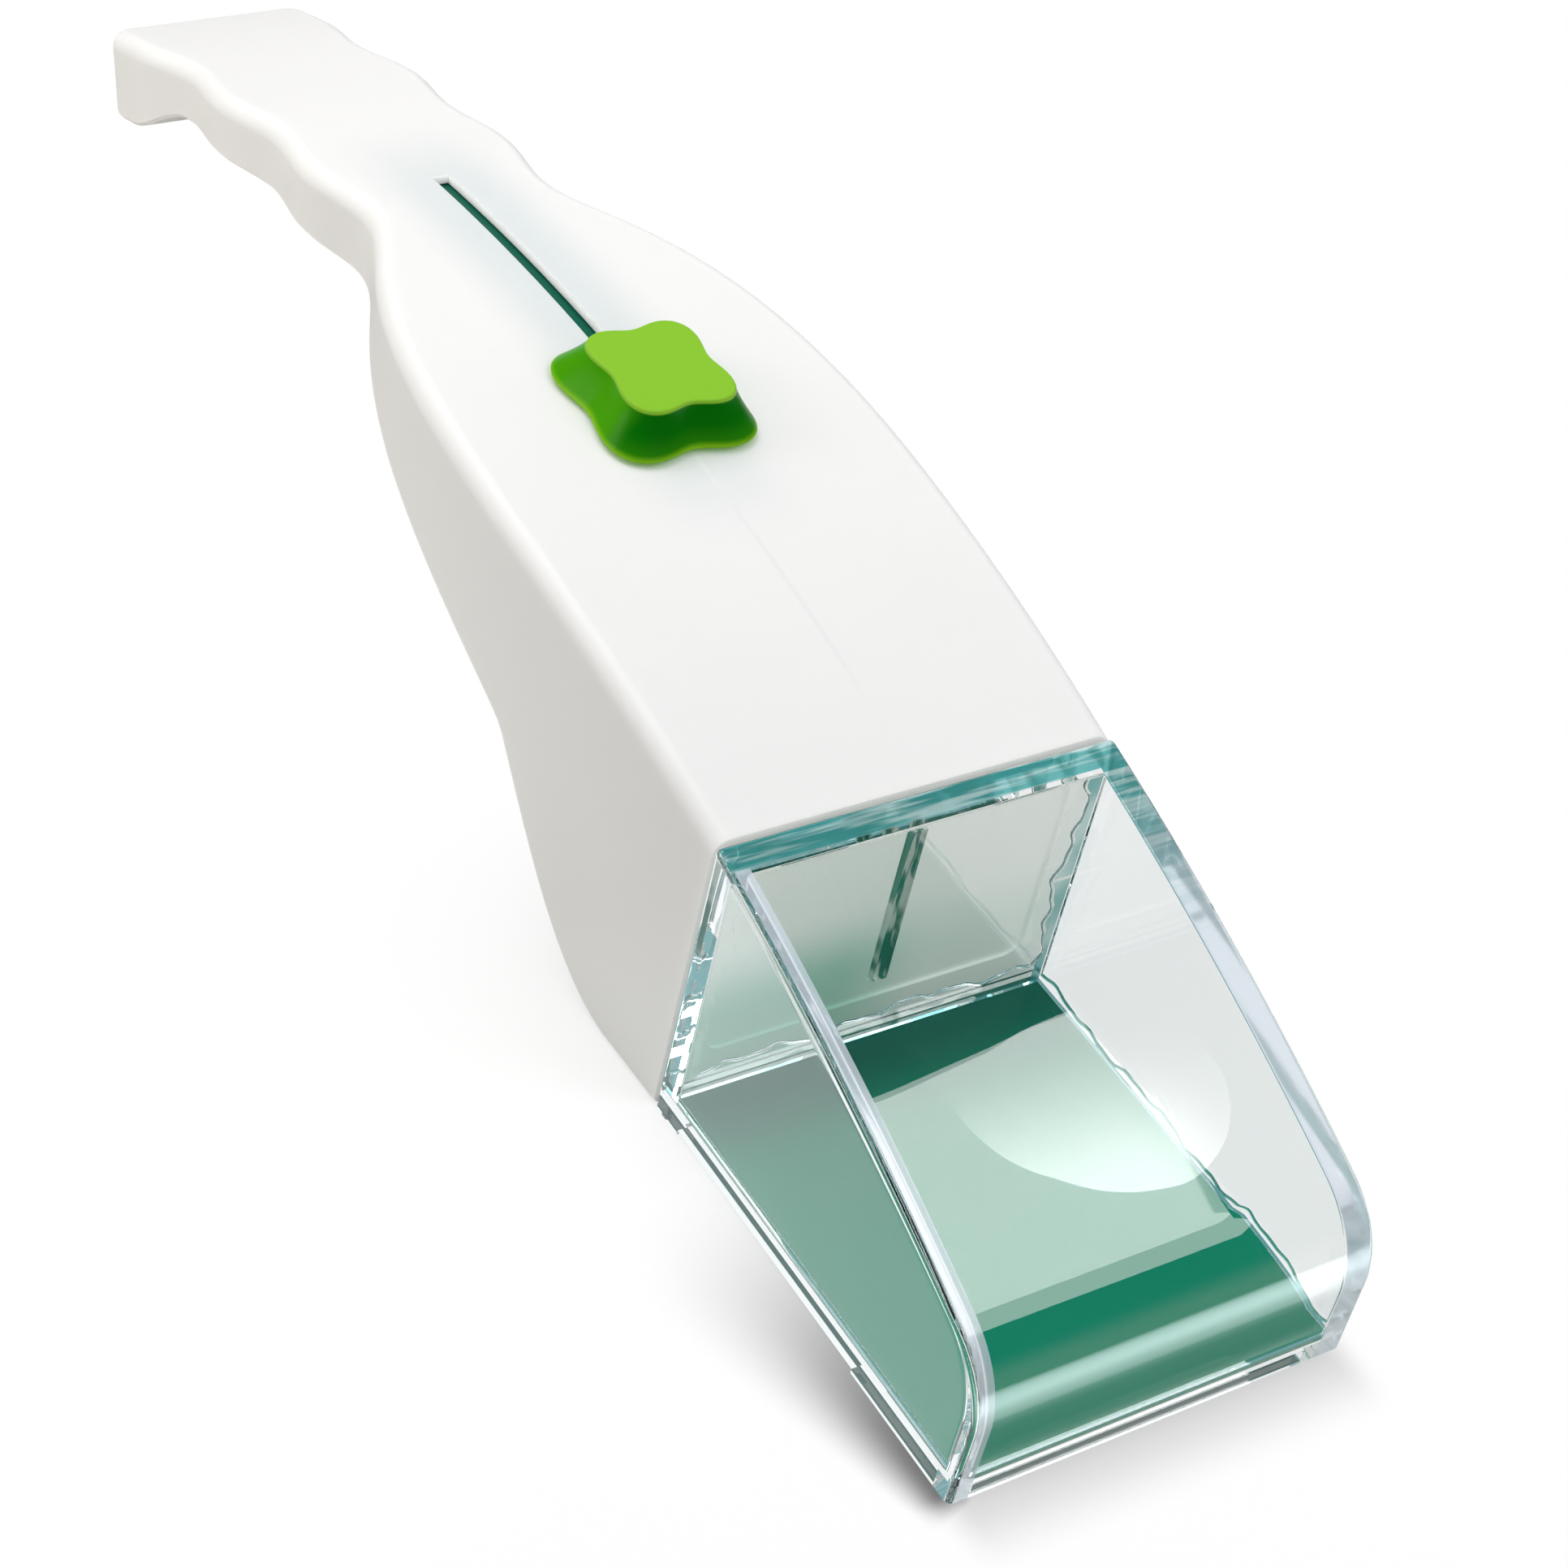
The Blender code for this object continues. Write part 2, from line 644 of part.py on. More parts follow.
def build_cover(parent, material):
    """Plate that fills the underside between the shell's walls, with a well for each screw."""
    last = BODY_LENGTH - BODY_WALL - GAP
    rings = []
    for station in body_stations():
        y = mix(GAP, last, station / BODY_LENGTH)
        half, depth = cover_half_width(y), rim_depth(y)
        inside = depth - COVER_THICKNESS
        rings.append(section_ring(y, ((-half, depth), (-half, inside), (half, inside), (half, depth))))
    cover = new_object("bottom_cover", loft(rings), parent, material)
    for name, frame, depth in screw_places():
        well = rod(WELL_RADIUS, -(depth - COVER_THICKNESS / 2), -(depth - WELL_HEIGHT))
        hollow = rod(SCREW_HEAD_RADIUS + RUNNING_GAP, -(depth + WELL_HEIGHT), screw_seat(depth))
        hole = rod(SCREW_SHANK_RADIUS + GAP, screw_seat(depth) - OVERLAP, -(depth - WELL_HEIGHT) + OVERLAP)
        for label, shape, operation in (
            ("well_", well, "UNION"),
            ("well_hollow_", hollow, "DIFFERENCE"),
            ("well_hole_", hole, "DIFFERENCE"),
        ):
            bmesh.ops.transform(shape, matrix=frame, verts=shape.verts)
            combine(cover, new_object(label + name, shape, parent), operation)
    return cover


def build_screws(parent, material):
    """Pan-head screws with a cross recess, driven up from below."""
    for name, frame, depth in screw_places():
        seat = screw_seat(depth) - GAP
        head = seat - SCREW_HEAD_HEIGHT
        profile = (
            (SCREW_HEAD_RADIUS * 0.72, head),
            (SCREW_HEAD_RADIUS * 0.93, mix(head, seat, 0.25)),
            (SCREW_HEAD_RADIUS, mix(head, seat, 0.6)),
            (SCREW_HEAD_RADIUS, seat),
            (SCREW_SHANK_RADIUS, seat),
            (SCREW_SHANK_RADIUS, screw_tip(depth) - SCREW_SHANK_RADIUS),
            (SCREW_SHANK_RADIUS * 0.4, screw_tip(depth)),
        )
        turns = [2 * math.pi * i / ROUND_STEPS for i in range(ROUND_STEPS)]
        rings = [[Vector((r * math.cos(a), r * math.sin(a), z)) for a in turns] for r, z in profile]
        shape = loft(rings)
        bmesh.ops.transform(shape, matrix=frame, verts=shape.verts)
        screw = new_object("cover_screw_" + name, shape, parent, material)
        for label, reach in (("a", (0.6, 0.0)), ("b", (0.0, 0.6))):
            x = SCREW_HEAD_RADIUS * reach[0] + SCREW_CROSS_WIDTH / 2
            y = SCREW_HEAD_RADIUS * reach[1] + SCREW_CROSS_WIDTH / 2
            slit = box((-x, -y, head - OVERLAP), (x, y, head + SCREW_CROSS_DEPTH))
            bmesh.ops.transform(slit, matrix=frame, verts=slit.verts)
            combine(screw, new_object(f"cross_{name}_{label}", slit, parent), "DIFFERENCE")


# Film and its guides


def sheet_ring(distance, half):
    """Four corners of the film's section at a distance along its path."""
    low = film_offset(distance, -FILM_THICKNESS / 2)
    high = film_offset(distance, FILM_THICKNESS / 2)
    corners = ((-half, low), (half, low), (half, high), (-half, high))
    return [Vector((x, p.x, p.y)) for x, p in corners]


def web_half_width(distance):
    share = smooth_step((distance - WEB_TAPER_START) / WEB_TAPER_LENGTH)
    return mix(FILM_HALF_WIDTH, TONGUE_HALF_WIDTH, share)


def leaf_end_y():
    """Rear end of the flat leaf, which stops short of the guides when the mouth is open."""
    return GUIDE_START_Y - LEAF_STOP_GAP - slider_travel() * FILM_TOP_RADIUS


def build_leaf(parent, material):
    rings = [sheet_ring(y, FILM_HALF_WIDTH) for y in (LEAF_FRONT_Y, leaf_end_y())]
    return new_object("film_leaf", loft(rings), parent, material)


def build_web(parent, material):
    """Stretch of film that bends: flat behind the leaf, up behind the back plate, to the top arc."""
    marks = [leaf_end_y() + GAP, 0.0]
    steps = 4 * CURVE_STEPS
    marks += [mix(WEB_TAPER_START, WEB_END - GAP, i / steps) for i in range(steps + 1)]
    rings = [sheet_ring(mark, web_half_width(mark)) for mark in marks]
    return new_object("film_web", loft(rings), parent, material)


def build_tongue(pivot, material):
    """Arc of film under the body's top, from the web to past the slot's end."""
    start, end = MEETING_ANGLE, arc_angle(SLOT_REAR_Y + TONGUE_PAST_SLOT)
    rings = []
    for i in range(CURVE_STEPS + 1):
        angle = mix(start, end, i / CURVE_STEPS)
        ring = []
        for x, off in ((-1, -1), (1, -1), (1, 1), (-1, 1)):
            radius = FILM_TOP_RADIUS + off * FILM_THICKNESS / 2
            ring.append(Vector((x * TONGUE_HALF_WIDTH, radius * math.sin(angle), radius * math.cos(angle))))
        rings.append(ring)
    tongue = new_object("film_tongue", loft(rings), pivot, material)
    hole = box(
        (-stem_half_width() - GAP, -STEM_LENGTH / 2 - GAP, ARC_RADIUS - BODY_WALL - 4 * FILM_CEILING),
        (stem_half_width() + GAP, STEM_LENGTH / 2 + GAP, ARC_RADIUS),
    )
    cut = new_object("tongue_hole", hole, pivot)
    cut.rotation_euler.x = -arc_angle(SLIDER_Y)
    combine(tongue, cut, "DIFFERENCE")
    return tongue


def build_guides(parent, material):
    """Cheeks that stand on the cover inside the shell, grooved for the edges of the film."""
    outside = cover_half_width(GUIDE_START_Y)
    inside = outside - GUIDE_THICKNESS
    groove_floor = FILM_HALF_WIDTH + RUNNING_GAP
    first = film_distance_at(GUIDE_START_Y)
    last = FILM_BEND_Y + LOWER_LENGTH + CLIMB_LENGTH + GUIDE_PAST_CLIMB
    steps = 2 * CURVE_STEPS
    upper = [film_offset(mix(first, last, i / steps), GUIDE_BAND) for i in range(steps + 1)]
    last_y = film_offset(last, -GUIDE_BAND).x
    lower = []
    for i in range(CURVE_STEPS + 1):
        y = mix(upper[0].x, last_y, i / CURVE_STEPS)
        lower.append(Vector((y, arc_height(y) - rim_depth(y) + COVER_THICKNESS + GAP)))
    outline = lower + [film_offset(last, -GUIDE_BAND)] + list(reversed(upper))
    groove = []
    for off in (1, -1):
        edge = [
            film_offset(mix(first - GUIDE_BAND, last + GUIDE_BAND, i / steps),
                        off * GUIDE_GROOVE_WIDTH / 2)
            for i in range(steps + 1)
        ]
        groove += edge if off > 0 else list(reversed(edge))
    for name, sign in (("left", -1), ("right", 1)):
        guide = new_object("film_guide_" + name, slab(outline, sign * inside, sign * outside), parent, material)
        cut = slab(groove, sign * (inside - OVERLAP), sign * groove_floor)
        combine(guide, new_object("guide_groove_" + name, cut, parent), "DIFFERENCE")


# Slider, built at the crest and turned about the pivot to its place


def stem_half_width():
    return SLOT_WIDTH / 2 - RUNNING_GAP


def foot_top():
    """Radius of the foot's upper face, just under the film."""
    return FILM_TOP_RADIUS - FILM_THICKNESS / 2 - GAP


def lobed_ring(scale, height):
    ring = []
    for i in range(LOBE_STEPS):
        turn = 2 * math.pi * i / LOBE_STEPS
        radius = SLIDER_BASE_RADIUS * (1 - SLIDER_LOBE * math.cos(4 * turn)) * scale
        x = radius * math.cos(turn)
        y = radius * math.sin(turn) * SLIDER_LENGTH_RATIO
        ring.append(Vector((x, y, ARC_RADIUS + height)))
    return ring


def build_slider(pivot, material):
    """Four-lobed button that flares to its base, with a barbed stem through the slot."""
    bottom = RUNNING_GAP
    top = bottom + SLIDER_HEIGHT
    shoulder = top - SLIDER_EDGE_RADIUS
    rounding = SLIDER_EDGE_RADIUS / SLIDER_BASE_RADIUS
    rings = [lobed_ring(1.0 - rounding / 2, bottom)]
    for i in range(CURVE_STEPS // 2 + 1):
        share = i / (CURVE_STEPS // 2)
        flare = mix(SLIDER_TOP_RATIO, 1.0, (1 - share) ** SLIDER_FLARE)
        rings.append(lobed_ring(flare, mix(bottom + SLIDER_EDGE_RADIUS, shoulder, share)))
    for i in range(1, 4):
        turn = i / 3 * math.pi / 2
        drawn = SLIDER_TOP_RATIO - rounding * (1 - math.cos(turn))
        rings.append(lobed_ring(drawn, shoulder + SLIDER_EDGE_RADIUS * math.sin(turn)))
    button = new_object("slider_button", loft(rings), pivot, material)
    button.rotation_euler.x = -arc_angle(SLIDER_Y)

    foot_bottom = foot_top() - FOOT_THICKNESS
    stem = box(
        (-stem_half_width(), -STEM_LENGTH / 2, foot_bottom - GAP - STEM_BARB_HEIGHT),
        (stem_half_width(), STEM_LENGTH / 2, ARC_RADIUS + bottom + OVERLAP),
    )
    barb_half = STEM_LENGTH / 2 + STEM_BARB_REACH
    barb = box(
        (-stem_half_width(), -barb_half, foot_bottom - GAP - STEM_BARB_HEIGHT),
        (stem_half_width(), barb_half, foot_bottom - GAP),
    )
    for name, shape in (("slider_stem", stem), ("slider_barb", barb)):
        helper = new_object(name, shape, pivot)
        helper.rotation_euler = button.rotation_euler
        combine(button, helper, "UNION")

    plate = box(
        (-FOOT_WIDTH / 2, -FOOT_LENGTH / 2, foot_bottom),
        (FOOT_WIDTH / 2, FOOT_LENGTH / 2, foot_top()),
    )
    foot = new_object("slider_foot", plate, pivot, material)
    foot.rotation_euler = button.rotation_euler
    hole = box(
        (-stem_half_width() - GAP, -STEM_LENGTH / 2 - GAP, foot_bottom - OVERLAP),
        (stem_half_width() + GAP, STEM_LENGTH / 2 + GAP, foot_top() + OVERLAP),
    )
    cut = new_object("foot_hole", hole, pivot)
    cut.rotation_euler = button.rotation_euler
    combine(foot, cut, "DIFFERENCE")


def slider_travel():
    """Angle about the pivot that the slider turns before its stem meets the slot's end."""
    stem = (STEM_LENGTH / 2 + GAP) / ARC_RADIUS
    return arc_angle(SLOT_REAR_Y) - arc_angle(SLIDER_Y) - stem


def clear_scene():
    for old in list(bpy.data.objects):
        bpy.data.objects.remove(old, do_unlink=True)


def main():
    clear_scene()
    clear_plastic = new_material("clear_plastic", (0.93, 0.97, 0.97), 0.05, transmission=1.0)
    white_plastic = new_material("white_plastic", (0.86, 0.86, 0.85), 0.42)
    inner_plastic = new_material("inner_plastic", (0.80, 0.80, 0.79), 0.50)
    green_film = new_material("green_film", (0.0, 0.16, 0.085), 0.22)
    green_plastic = new_material("green_plastic", (0.20, 0.52, 0.03), 0.35)
    screw_steel = new_material("screw_steel", (0.62, 0.62, 0.60), 0.32, metallic=1.0)

    catcher = new_empty("spider_catcher", (0.0, (HOOD_LENGTH - rear_reach()) / 2, 0.0))
    pivot = new_empty("slider_pivot", PIVOT, catcher)
    build_hood(catcher, clear_plastic)
    build_shell(catcher, white_plastic)
    build_back_plate(catcher, white_plastic)
    build_cover(catcher, white_plastic)
    build_screws(catcher, screw_steel)
    build_leaf(catcher, green_film)
    build_web(catcher, green_film)
    build_tongue(pivot, green_film)
    build_guides(catcher, inner_plastic)
    build_slider(pivot, green_plastic)


main()
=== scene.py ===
# %% [markdown]
# # A catcher: clear box, white grip, green film
#
# The catcher is set over its catch like an upturned box. A thumb slider on the white grip then
# draws a thin green film across the mouth of the box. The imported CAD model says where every
# piece is and how it moves. This lesson gives those pieces their finished surfaces.

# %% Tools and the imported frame
import math

import bmesh
import bpy
from mathutils import Matrix, Vector


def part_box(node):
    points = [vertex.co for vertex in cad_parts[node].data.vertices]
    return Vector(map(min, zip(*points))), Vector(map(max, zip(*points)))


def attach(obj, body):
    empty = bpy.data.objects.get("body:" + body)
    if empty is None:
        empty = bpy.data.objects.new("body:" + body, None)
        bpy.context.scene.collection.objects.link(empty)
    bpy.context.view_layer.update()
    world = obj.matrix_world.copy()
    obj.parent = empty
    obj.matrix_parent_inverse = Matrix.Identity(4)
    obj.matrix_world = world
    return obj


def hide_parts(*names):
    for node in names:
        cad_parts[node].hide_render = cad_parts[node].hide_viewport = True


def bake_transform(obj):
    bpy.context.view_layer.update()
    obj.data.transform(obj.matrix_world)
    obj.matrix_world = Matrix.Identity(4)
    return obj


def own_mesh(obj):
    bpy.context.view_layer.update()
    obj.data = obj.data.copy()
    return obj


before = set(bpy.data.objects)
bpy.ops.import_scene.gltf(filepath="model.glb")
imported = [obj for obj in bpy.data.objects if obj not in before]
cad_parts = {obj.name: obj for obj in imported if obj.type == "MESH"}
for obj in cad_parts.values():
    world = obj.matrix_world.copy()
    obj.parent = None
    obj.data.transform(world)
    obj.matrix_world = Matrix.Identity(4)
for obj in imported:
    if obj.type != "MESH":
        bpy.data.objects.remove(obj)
scene = bpy.context.scene
scene.view_settings.view_transform = "Standard"
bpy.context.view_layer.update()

# %% [markdown]
# ## The camera
#
# The photograph looks down on the front left corner of the box through a longish lens, and the
# camera is rolled, so that the grip points to the upper left. Three angles, a place and a lens
# describe that, and a rotation matrix is made of the camera's own right, up and back directions.

# %% Camera
CAMERA_PLACE = Vector((-0.24810, -0.33234, 0.34397))
CAMERA_AZIMUTH = math.radians(-40.981)
CAMERA_ELEVATION = math.radians(40.076)
CAMERA_ROLL = math.radians(13.974)
CAMERA_LENS = 81.51
CAMERA_SENSOR = 36.0
CAMERA_NEAREST = 0.01


def camera_turn(azimuth, elevation, roll):
    level = math.cos(elevation)
    back = Vector((math.sin(azimuth) * level, -math.cos(azimuth) * level, math.sin(elevation)))
    level_right = Vector((math.cos(azimuth), math.sin(azimuth), 0.0))
    level_up = back.cross(level_right)
    right = level_right * math.cos(roll) + level_up * math.sin(roll)
    up = level_up * math.cos(roll) - level_right * math.sin(roll)
    return Matrix((right, up, back)).transposed()


camera_data = bpy.data.cameras.new("photo_camera")
camera_data.lens = CAMERA_LENS
camera_data.sensor_width = CAMERA_SENSOR
camera_data.clip_start = CAMERA_NEAREST
camera = bpy.data.objects.new("photo_camera", camera_data)
turn = camera_turn(CAMERA_AZIMUTH, CAMERA_ELEVATION, CAMERA_ROLL)
camera.matrix_world = Matrix.Translation(CAMERA_PLACE) @ turn.to_4x4()
scene.collection.objects.link(camera)
scene.camera = camera
print("camera at", tuple(CAMERA_PLACE))

# %% [markdown]
# ## Sizes that the CAD model shares with its finished pieces
#
# Shapes are written in the body's own frame, as in the CAD source: Y = 0 is the joint between
# box and body. JOINT_Y carries that frame to the middle of the whole length, and is read from
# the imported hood, so that every piece lands exactly where its node is.

# %% Shared sizes
GAP = 0.0003
RUNNING_GAP = 0.0004
OVERLAP = 0.0010

HOOD_WIDTH = 0.0640
HOOD_LENGTH = 0.0726
HOOD_WALL = 0.0030
HOOD_GROOVE_DEPTH = 0.0012
HALF_HOOD = HOOD_WIDTH / 2

CREST_Y = 0.0910
CREST_Z = 0.0586
ARC_RADIUS = 0.3860
PIVOT = Vector((0.0, CREST_Y, CREST_Z - ARC_RADIUS))
BODY_LENGTH = 0.2208
BODY_WALL = 0.0014

FILM_THICKNESS = 0.0006
FILM_HEIGHT = 0.0030
FILM_TOP_RADIUS = 0.3838
FILM_HALF_WIDTH = HALF_HOOD - HOOD_WALL + HOOD_GROOVE_DEPTH - RUNNING_GAP

SLIDER_Y = 0.0740
SLOT_REAR_Y = 0.1380
SLOT_WIDTH = 0.0028
STEM_LENGTH = 0.0080

JOINT_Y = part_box("clear_hood")[0][1] + HOOD_LENGTH
PLACE = Matrix.Translation((0.0, JOINT_Y, 0.0))
print("joint of box and body at Y =", round(JOINT_Y, 5))

# %% [markdown]
# ## Small node helpers
#
# Materials are written as code too. fill gives a node's inputs their numbers or links in one call,
# add_node makes the node as well, and the short maths helpers keep long formulas readable.

# %% Node helpers


def fill(tree, node, inputs):
    for key, value in inputs.items():
        if isinstance(value, bpy.types.NodeSocket):
            tree.links.new(value, node.inputs[key])
        else:
            node.inputs[key].default_value = value


def add_node(tree, kind, inputs=None, **settings):
    node = tree.nodes.new(kind)
    for name, value in settings.items():
        setattr(node, name, value)
    fill(tree, node, inputs or {})
    return node


def calculate(tree, operation, a, b=0.0):
    return add_node(tree, "ShaderNodeMath", {0: a, 1: b}, operation=operation).outputs[0]


def times(tree, a, b):
    return calculate(tree, "MULTIPLY", a, b)


def step_between(tree, value, low, high, start=0.0, end=1.0):
    """Smooth step of a value from low to high."""
    inputs = {"Value": value, "From Min": low, "From Max": high, "To Min": start, "To Max": end}
    node = add_node(tree, "ShaderNodeMapRange", inputs, interpolation_type="SMOOTHSTEP")
    return node.outputs["Result"]


def place_of(tree):
    return add_node(tree, "ShaderNodeTexCoord").outputs["Object"]


def noise(tree, place, scale, detail):
    inputs = {"Vector": place, "Scale": scale, "Detail": detail}
    return add_node(tree, "ShaderNodeTexNoise", inputs).outputs[0]


# %% [markdown]
# ## Effects that several plastics share
#
# Moulded plastic is never perfectly even: its gloss drifts over a few centimetres and its skin has
# a fine texture from the tool. Handled plastic also carries hairline scratches. Each effect is one
# node group with named inputs, placed in every material that needs it.

# %% Group helpers


def new_group(name, inputs, outputs):
    """Shader group with number inputs, each with its usual value, and number outputs."""
    tree = bpy.data.node_groups.new(name, "ShaderNodeTree")
    sockets = tree.interface
    for label, value in inputs:
        sockets.new_socket(label, in_out="INPUT", socket_type="NodeSocketFloat").default_value = value
    for label in outputs:
        sockets.new_socket(label, in_out="OUTPUT", socket_type="NodeSocketFloat")
    return tree, tree.nodes.new("NodeGroupInput").outputs, tree.nodes.new("NodeGroupOutput")


# %% Moulded skin group
CLOUD_SCALE = 38.0


def build_moulded_skin():
    inputs = (("Grain Scale", 2500.0), ("Roughness", 0.4), ("Drift", 0.06))
    tree, given, made = new_group("moulded_skin", inputs, ("Roughness", "Height", "Cloud"))
    place = place_of(tree)
    grain = noise(tree, place, given["Grain Scale"], 3.0)
    cloud = noise(tree, place, CLOUD_SCALE, 2.0)
    swing = times(tree, calculate(tree, "SUBTRACT", cloud, 0.5), given["Drift"])
    rough = calculate(tree, "ADD", given["Roughness"], swing)
    fill(tree, made, {"Roughness": rough, "Height": grain, "Cloud": cloud})
    return tree


moulded_skin = build_moulded_skin()
print("group:", moulded_skin.name)

# %% Hairline scratch group
HAIRLINE_TURNS = (0.5, -0.9)
HAIRLINE_STRETCHES = ((900.0, 12.0, 12.0), (700.0, 9.0, 9.0))
HAIRLINE_LEVELS = (0.70, 0.76)


def stretched_noise(tree, place, scale, turn=0.0, fineness=1.0, detail=2.0):
    inputs = {"Vector": place, "Rotation": (0.0, 0.0, turn), "Scale": scale}
    return noise(tree, add_node(tree, "ShaderNodeMapping", inputs).outputs[0], fineness, detail)


def build_hairlines():
    """Thin straight marks in two directions, from noise that is stretched along each of them."""
    tree, given, made = new_group("hairlines", (("Amount", 0.5), ("Fineness", 1.0)), ("Mask",))
    place = place_of(tree)
    lines = []
    for angle, stretch in zip(HAIRLINE_TURNS, HAIRLINE_STRETCHES):
        marks = stretched_noise(tree, place, stretch, angle, given["Fineness"], 1.0)
        lines.append(step_between(tree, marks, *HAIRLINE_LEVELS))
    mask = times(tree, calculate(tree, "MAXIMUM", *lines), given["Amount"])
    fill(tree, made, {"Mask": mask})
    return tree


hairlines = build_hairlines()
print("group:", hairlines.name)

# %% [markdown]
# ## White plastic
#
# The body is a milky white plastic with a satin skin. Light enters it and comes out again a
# millimetre or two away, which softens its edges, so the shader scatters light under the surface.
# Along the slot it carries a faint painted shade, for the green film under its thin wall, and a
# weld line from moulding runs forward from the slot along the middle. Both are soft masks over the
# body's own coordinates. The plate behind the box carries a painted green glow at its foot in the
# same way, for light bounced from the film, most of it on the left; its white is painted brighter
# and it has a faint painted glow all over, to lift the shade it stands in behind the box. The walls
# of the narrow slot have a painted glow, for the light that reaches them through the plastic.

# %% Material helpers


def new_material(name):
    material = bpy.data.materials.new(name)
    material.use_nodes = True
    tree = material.node_tree
    return material, tree, tree.nodes["Principled BSDF"]


def use_group(tree, group, **values):
    node = tree.nodes.new("ShaderNodeGroup")
    node.node_tree = group
    for label, value in values.items():
        node.inputs[label.replace("_", " ")].default_value = value
    return node.outputs


def mix_colour(tree, share, a, b):
    return add_node(tree, "ShaderNodeMix", {0: share, 6: a, 7: b}, data_type="RGBA").outputs[2]


def axes_of(tree, place=None):
    if place is None:
        place = place_of(tree)
    return add_node(tree, "ShaderNodeSeparateXYZ", {0: place}).outputs


def fade(tree, value, low, high, start=1.0):
    return step_between(tree, value, low, high, start, 0.0)


def band(tree, value, low, high, softness):
    """One between low and high, falling softly to nothing outside them."""
    rise = step_between(tree, value, low - softness, low + softness)
    return times(tree, rise, fade(tree, value, high - softness, high + softness))


def bump(tree, height, strength, distance):
    inputs = {"Height": height, "Strength": strength, "Distance": distance}
    return add_node(tree, "ShaderNodeBump", inputs).outputs["Normal"]


# %% Painted shade and glow on the white plastic, and its weld line
# Painted shade along the slot, for the film under the thin wall of the body.
BODY_PAINTED_FILM_SHADE = (0.660, 0.700, 0.709, 1.0)
TOP_HEIGHTS = (0.040, 0.047)
BODY_FILM_SHADE_HALF_WIDTH = 0.0086
BODY_FILM_SHADE_SOFTNESS = 0.0055
BODY_FILM_SHADE_ALONG = (JOINT_Y + 0.056, JOINT_Y + 0.146, 0.014)
WELD_SHADE = (0.752, 0.761, 0.761, 1.0)
WELD_ACROSS = (0.0001, 0.0006)
WELD_ALONG = (JOINT_Y + 0.018, JOINT_Y + 0.062, 0.008)
# Painted green glow low on the plate, for light bounced from the film.
PLATE_PAINTED_FILM_GLOW = (0.30, 0.58, 0.46, 1.0)
GLOW_HEIGHTS = (0.015, 0.029)
GLOW_ACROSS = (-0.008, 0.010)
GLOW_LEFT = 0.85
GLOW_RIGHT = 0.28


def paint_film_shade_and_weld_line(tree, paint):
    """Painted shade where the film lies under the slot, and the weld line in front of it."""
    axes = axes_of(tree)
    aside = calculate(tree, "ABSOLUTE", axes["X"])
    top = step_between(tree, axes["Z"], *TOP_HEIGHTS)
    beside = fade(tree, aside, BODY_FILM_SHADE_HALF_WIDTH - BODY_FILM_SHADE_SOFTNESS, BODY_FILM_SHADE_HALF_WIDTH + BODY_FILM_SHADE_SOFTNESS)
    over_film = times(tree, beside, band(tree, axes["Y"], *BODY_FILM_SHADE_ALONG))
    paint = mix_colour(tree, times(tree, over_film, top), paint, BODY_PAINTED_FILM_SHADE)
    line = times(tree, fade(tree, aside, *WELD_ACROSS), band(tree, axes["Y"], *WELD_ALONG))
    return mix_colour(tree, times(tree, line, top), paint, WELD_SHADE)


def paint_film_glow_on_plate(tree, paint):
    """Painted green glow low on the plate, for light bounced from the film."""
    axes = axes_of(tree)
    low = fade(tree, axes["Z"], *GLOW_HEIGHTS, GLOW_LEFT)
    left = step_between(tree, axes["X"], *GLOW_ACROSS, 1.0, GLOW_RIGHT)
    return mix_colour(tree, times(tree, low, left), paint, PLATE_PAINTED_FILM_GLOW)


# %% White plastic
WHITE = (0.795, 0.797, 0.796, 1.0)
# The plate's white is painted brighter, to lift the shade it stands in behind the box.
PLATE_WHITE_PAINTED_BRIGHTER = (0.95, 0.95, 0.93, 1.0)
INNER_WHITE = (0.80, 0.80, 0.79, 1.0)
CLOUD_SHADE = 0.99
MILKY_DEPTH = 0.0018
# Painted glows: on the slot walls for light through the plastic, on the plate to lift its shade.
SLOT_PAINTED_GLOW = 0.22
PLATE_PAINTED_GLOW = 0.13


# A glow given here is a painted glow: emission that stands in for light reaching a shaded part.
def build_white(name, colour, tint=None, glow=0.0):
    material, tree, shader = new_material(name)
    skin = use_group(tree, moulded_skin, Grain_Scale=2600.0, Roughness=0.45, Drift=0.08)
    paint = mix_colour(tree, skin["Cloud"], [c * CLOUD_SHADE for c in colour[:3]] + [1.0], colour)
    if tint is not None:
        paint = tint(tree, paint)
    on_plate = tint is paint_film_glow_on_plate
    inputs = {
        "Base Color": paint,
        "Roughness": skin["Roughness"],
        "Normal": bump(tree, skin["Height"], 0.06, 0.0002),
        "Specular IOR Level": 0.35,
        "Emission Color": paint if on_plate else colour,
        "Emission Strength": glow,
        "Subsurface Weight": 0.0 if on_plate else 1.0,
        "Subsurface Radius": (1.0, 1.0, 1.0),
        "Subsurface Scale": MILKY_DEPTH,
    }
    fill(tree, shader, inputs)
    return material


white_top = build_white("white_body", WHITE, paint_film_shade_and_weld_line)
white_plain = build_white("white_cover", WHITE)
white_plate = build_white("white_plate", PLATE_WHITE_PAINTED_BRIGHTER, paint_film_glow_on_plate, PLATE_PAINTED_GLOW)
white_slot = build_white("white_slot", WHITE, glow=SLOT_PAINTED_GLOW)
inner_white = build_white("inner_white", INNER_WHITE)
print("materials:", [m.name for m in (white_top, white_plain, white_plate, white_slot, inner_white)])

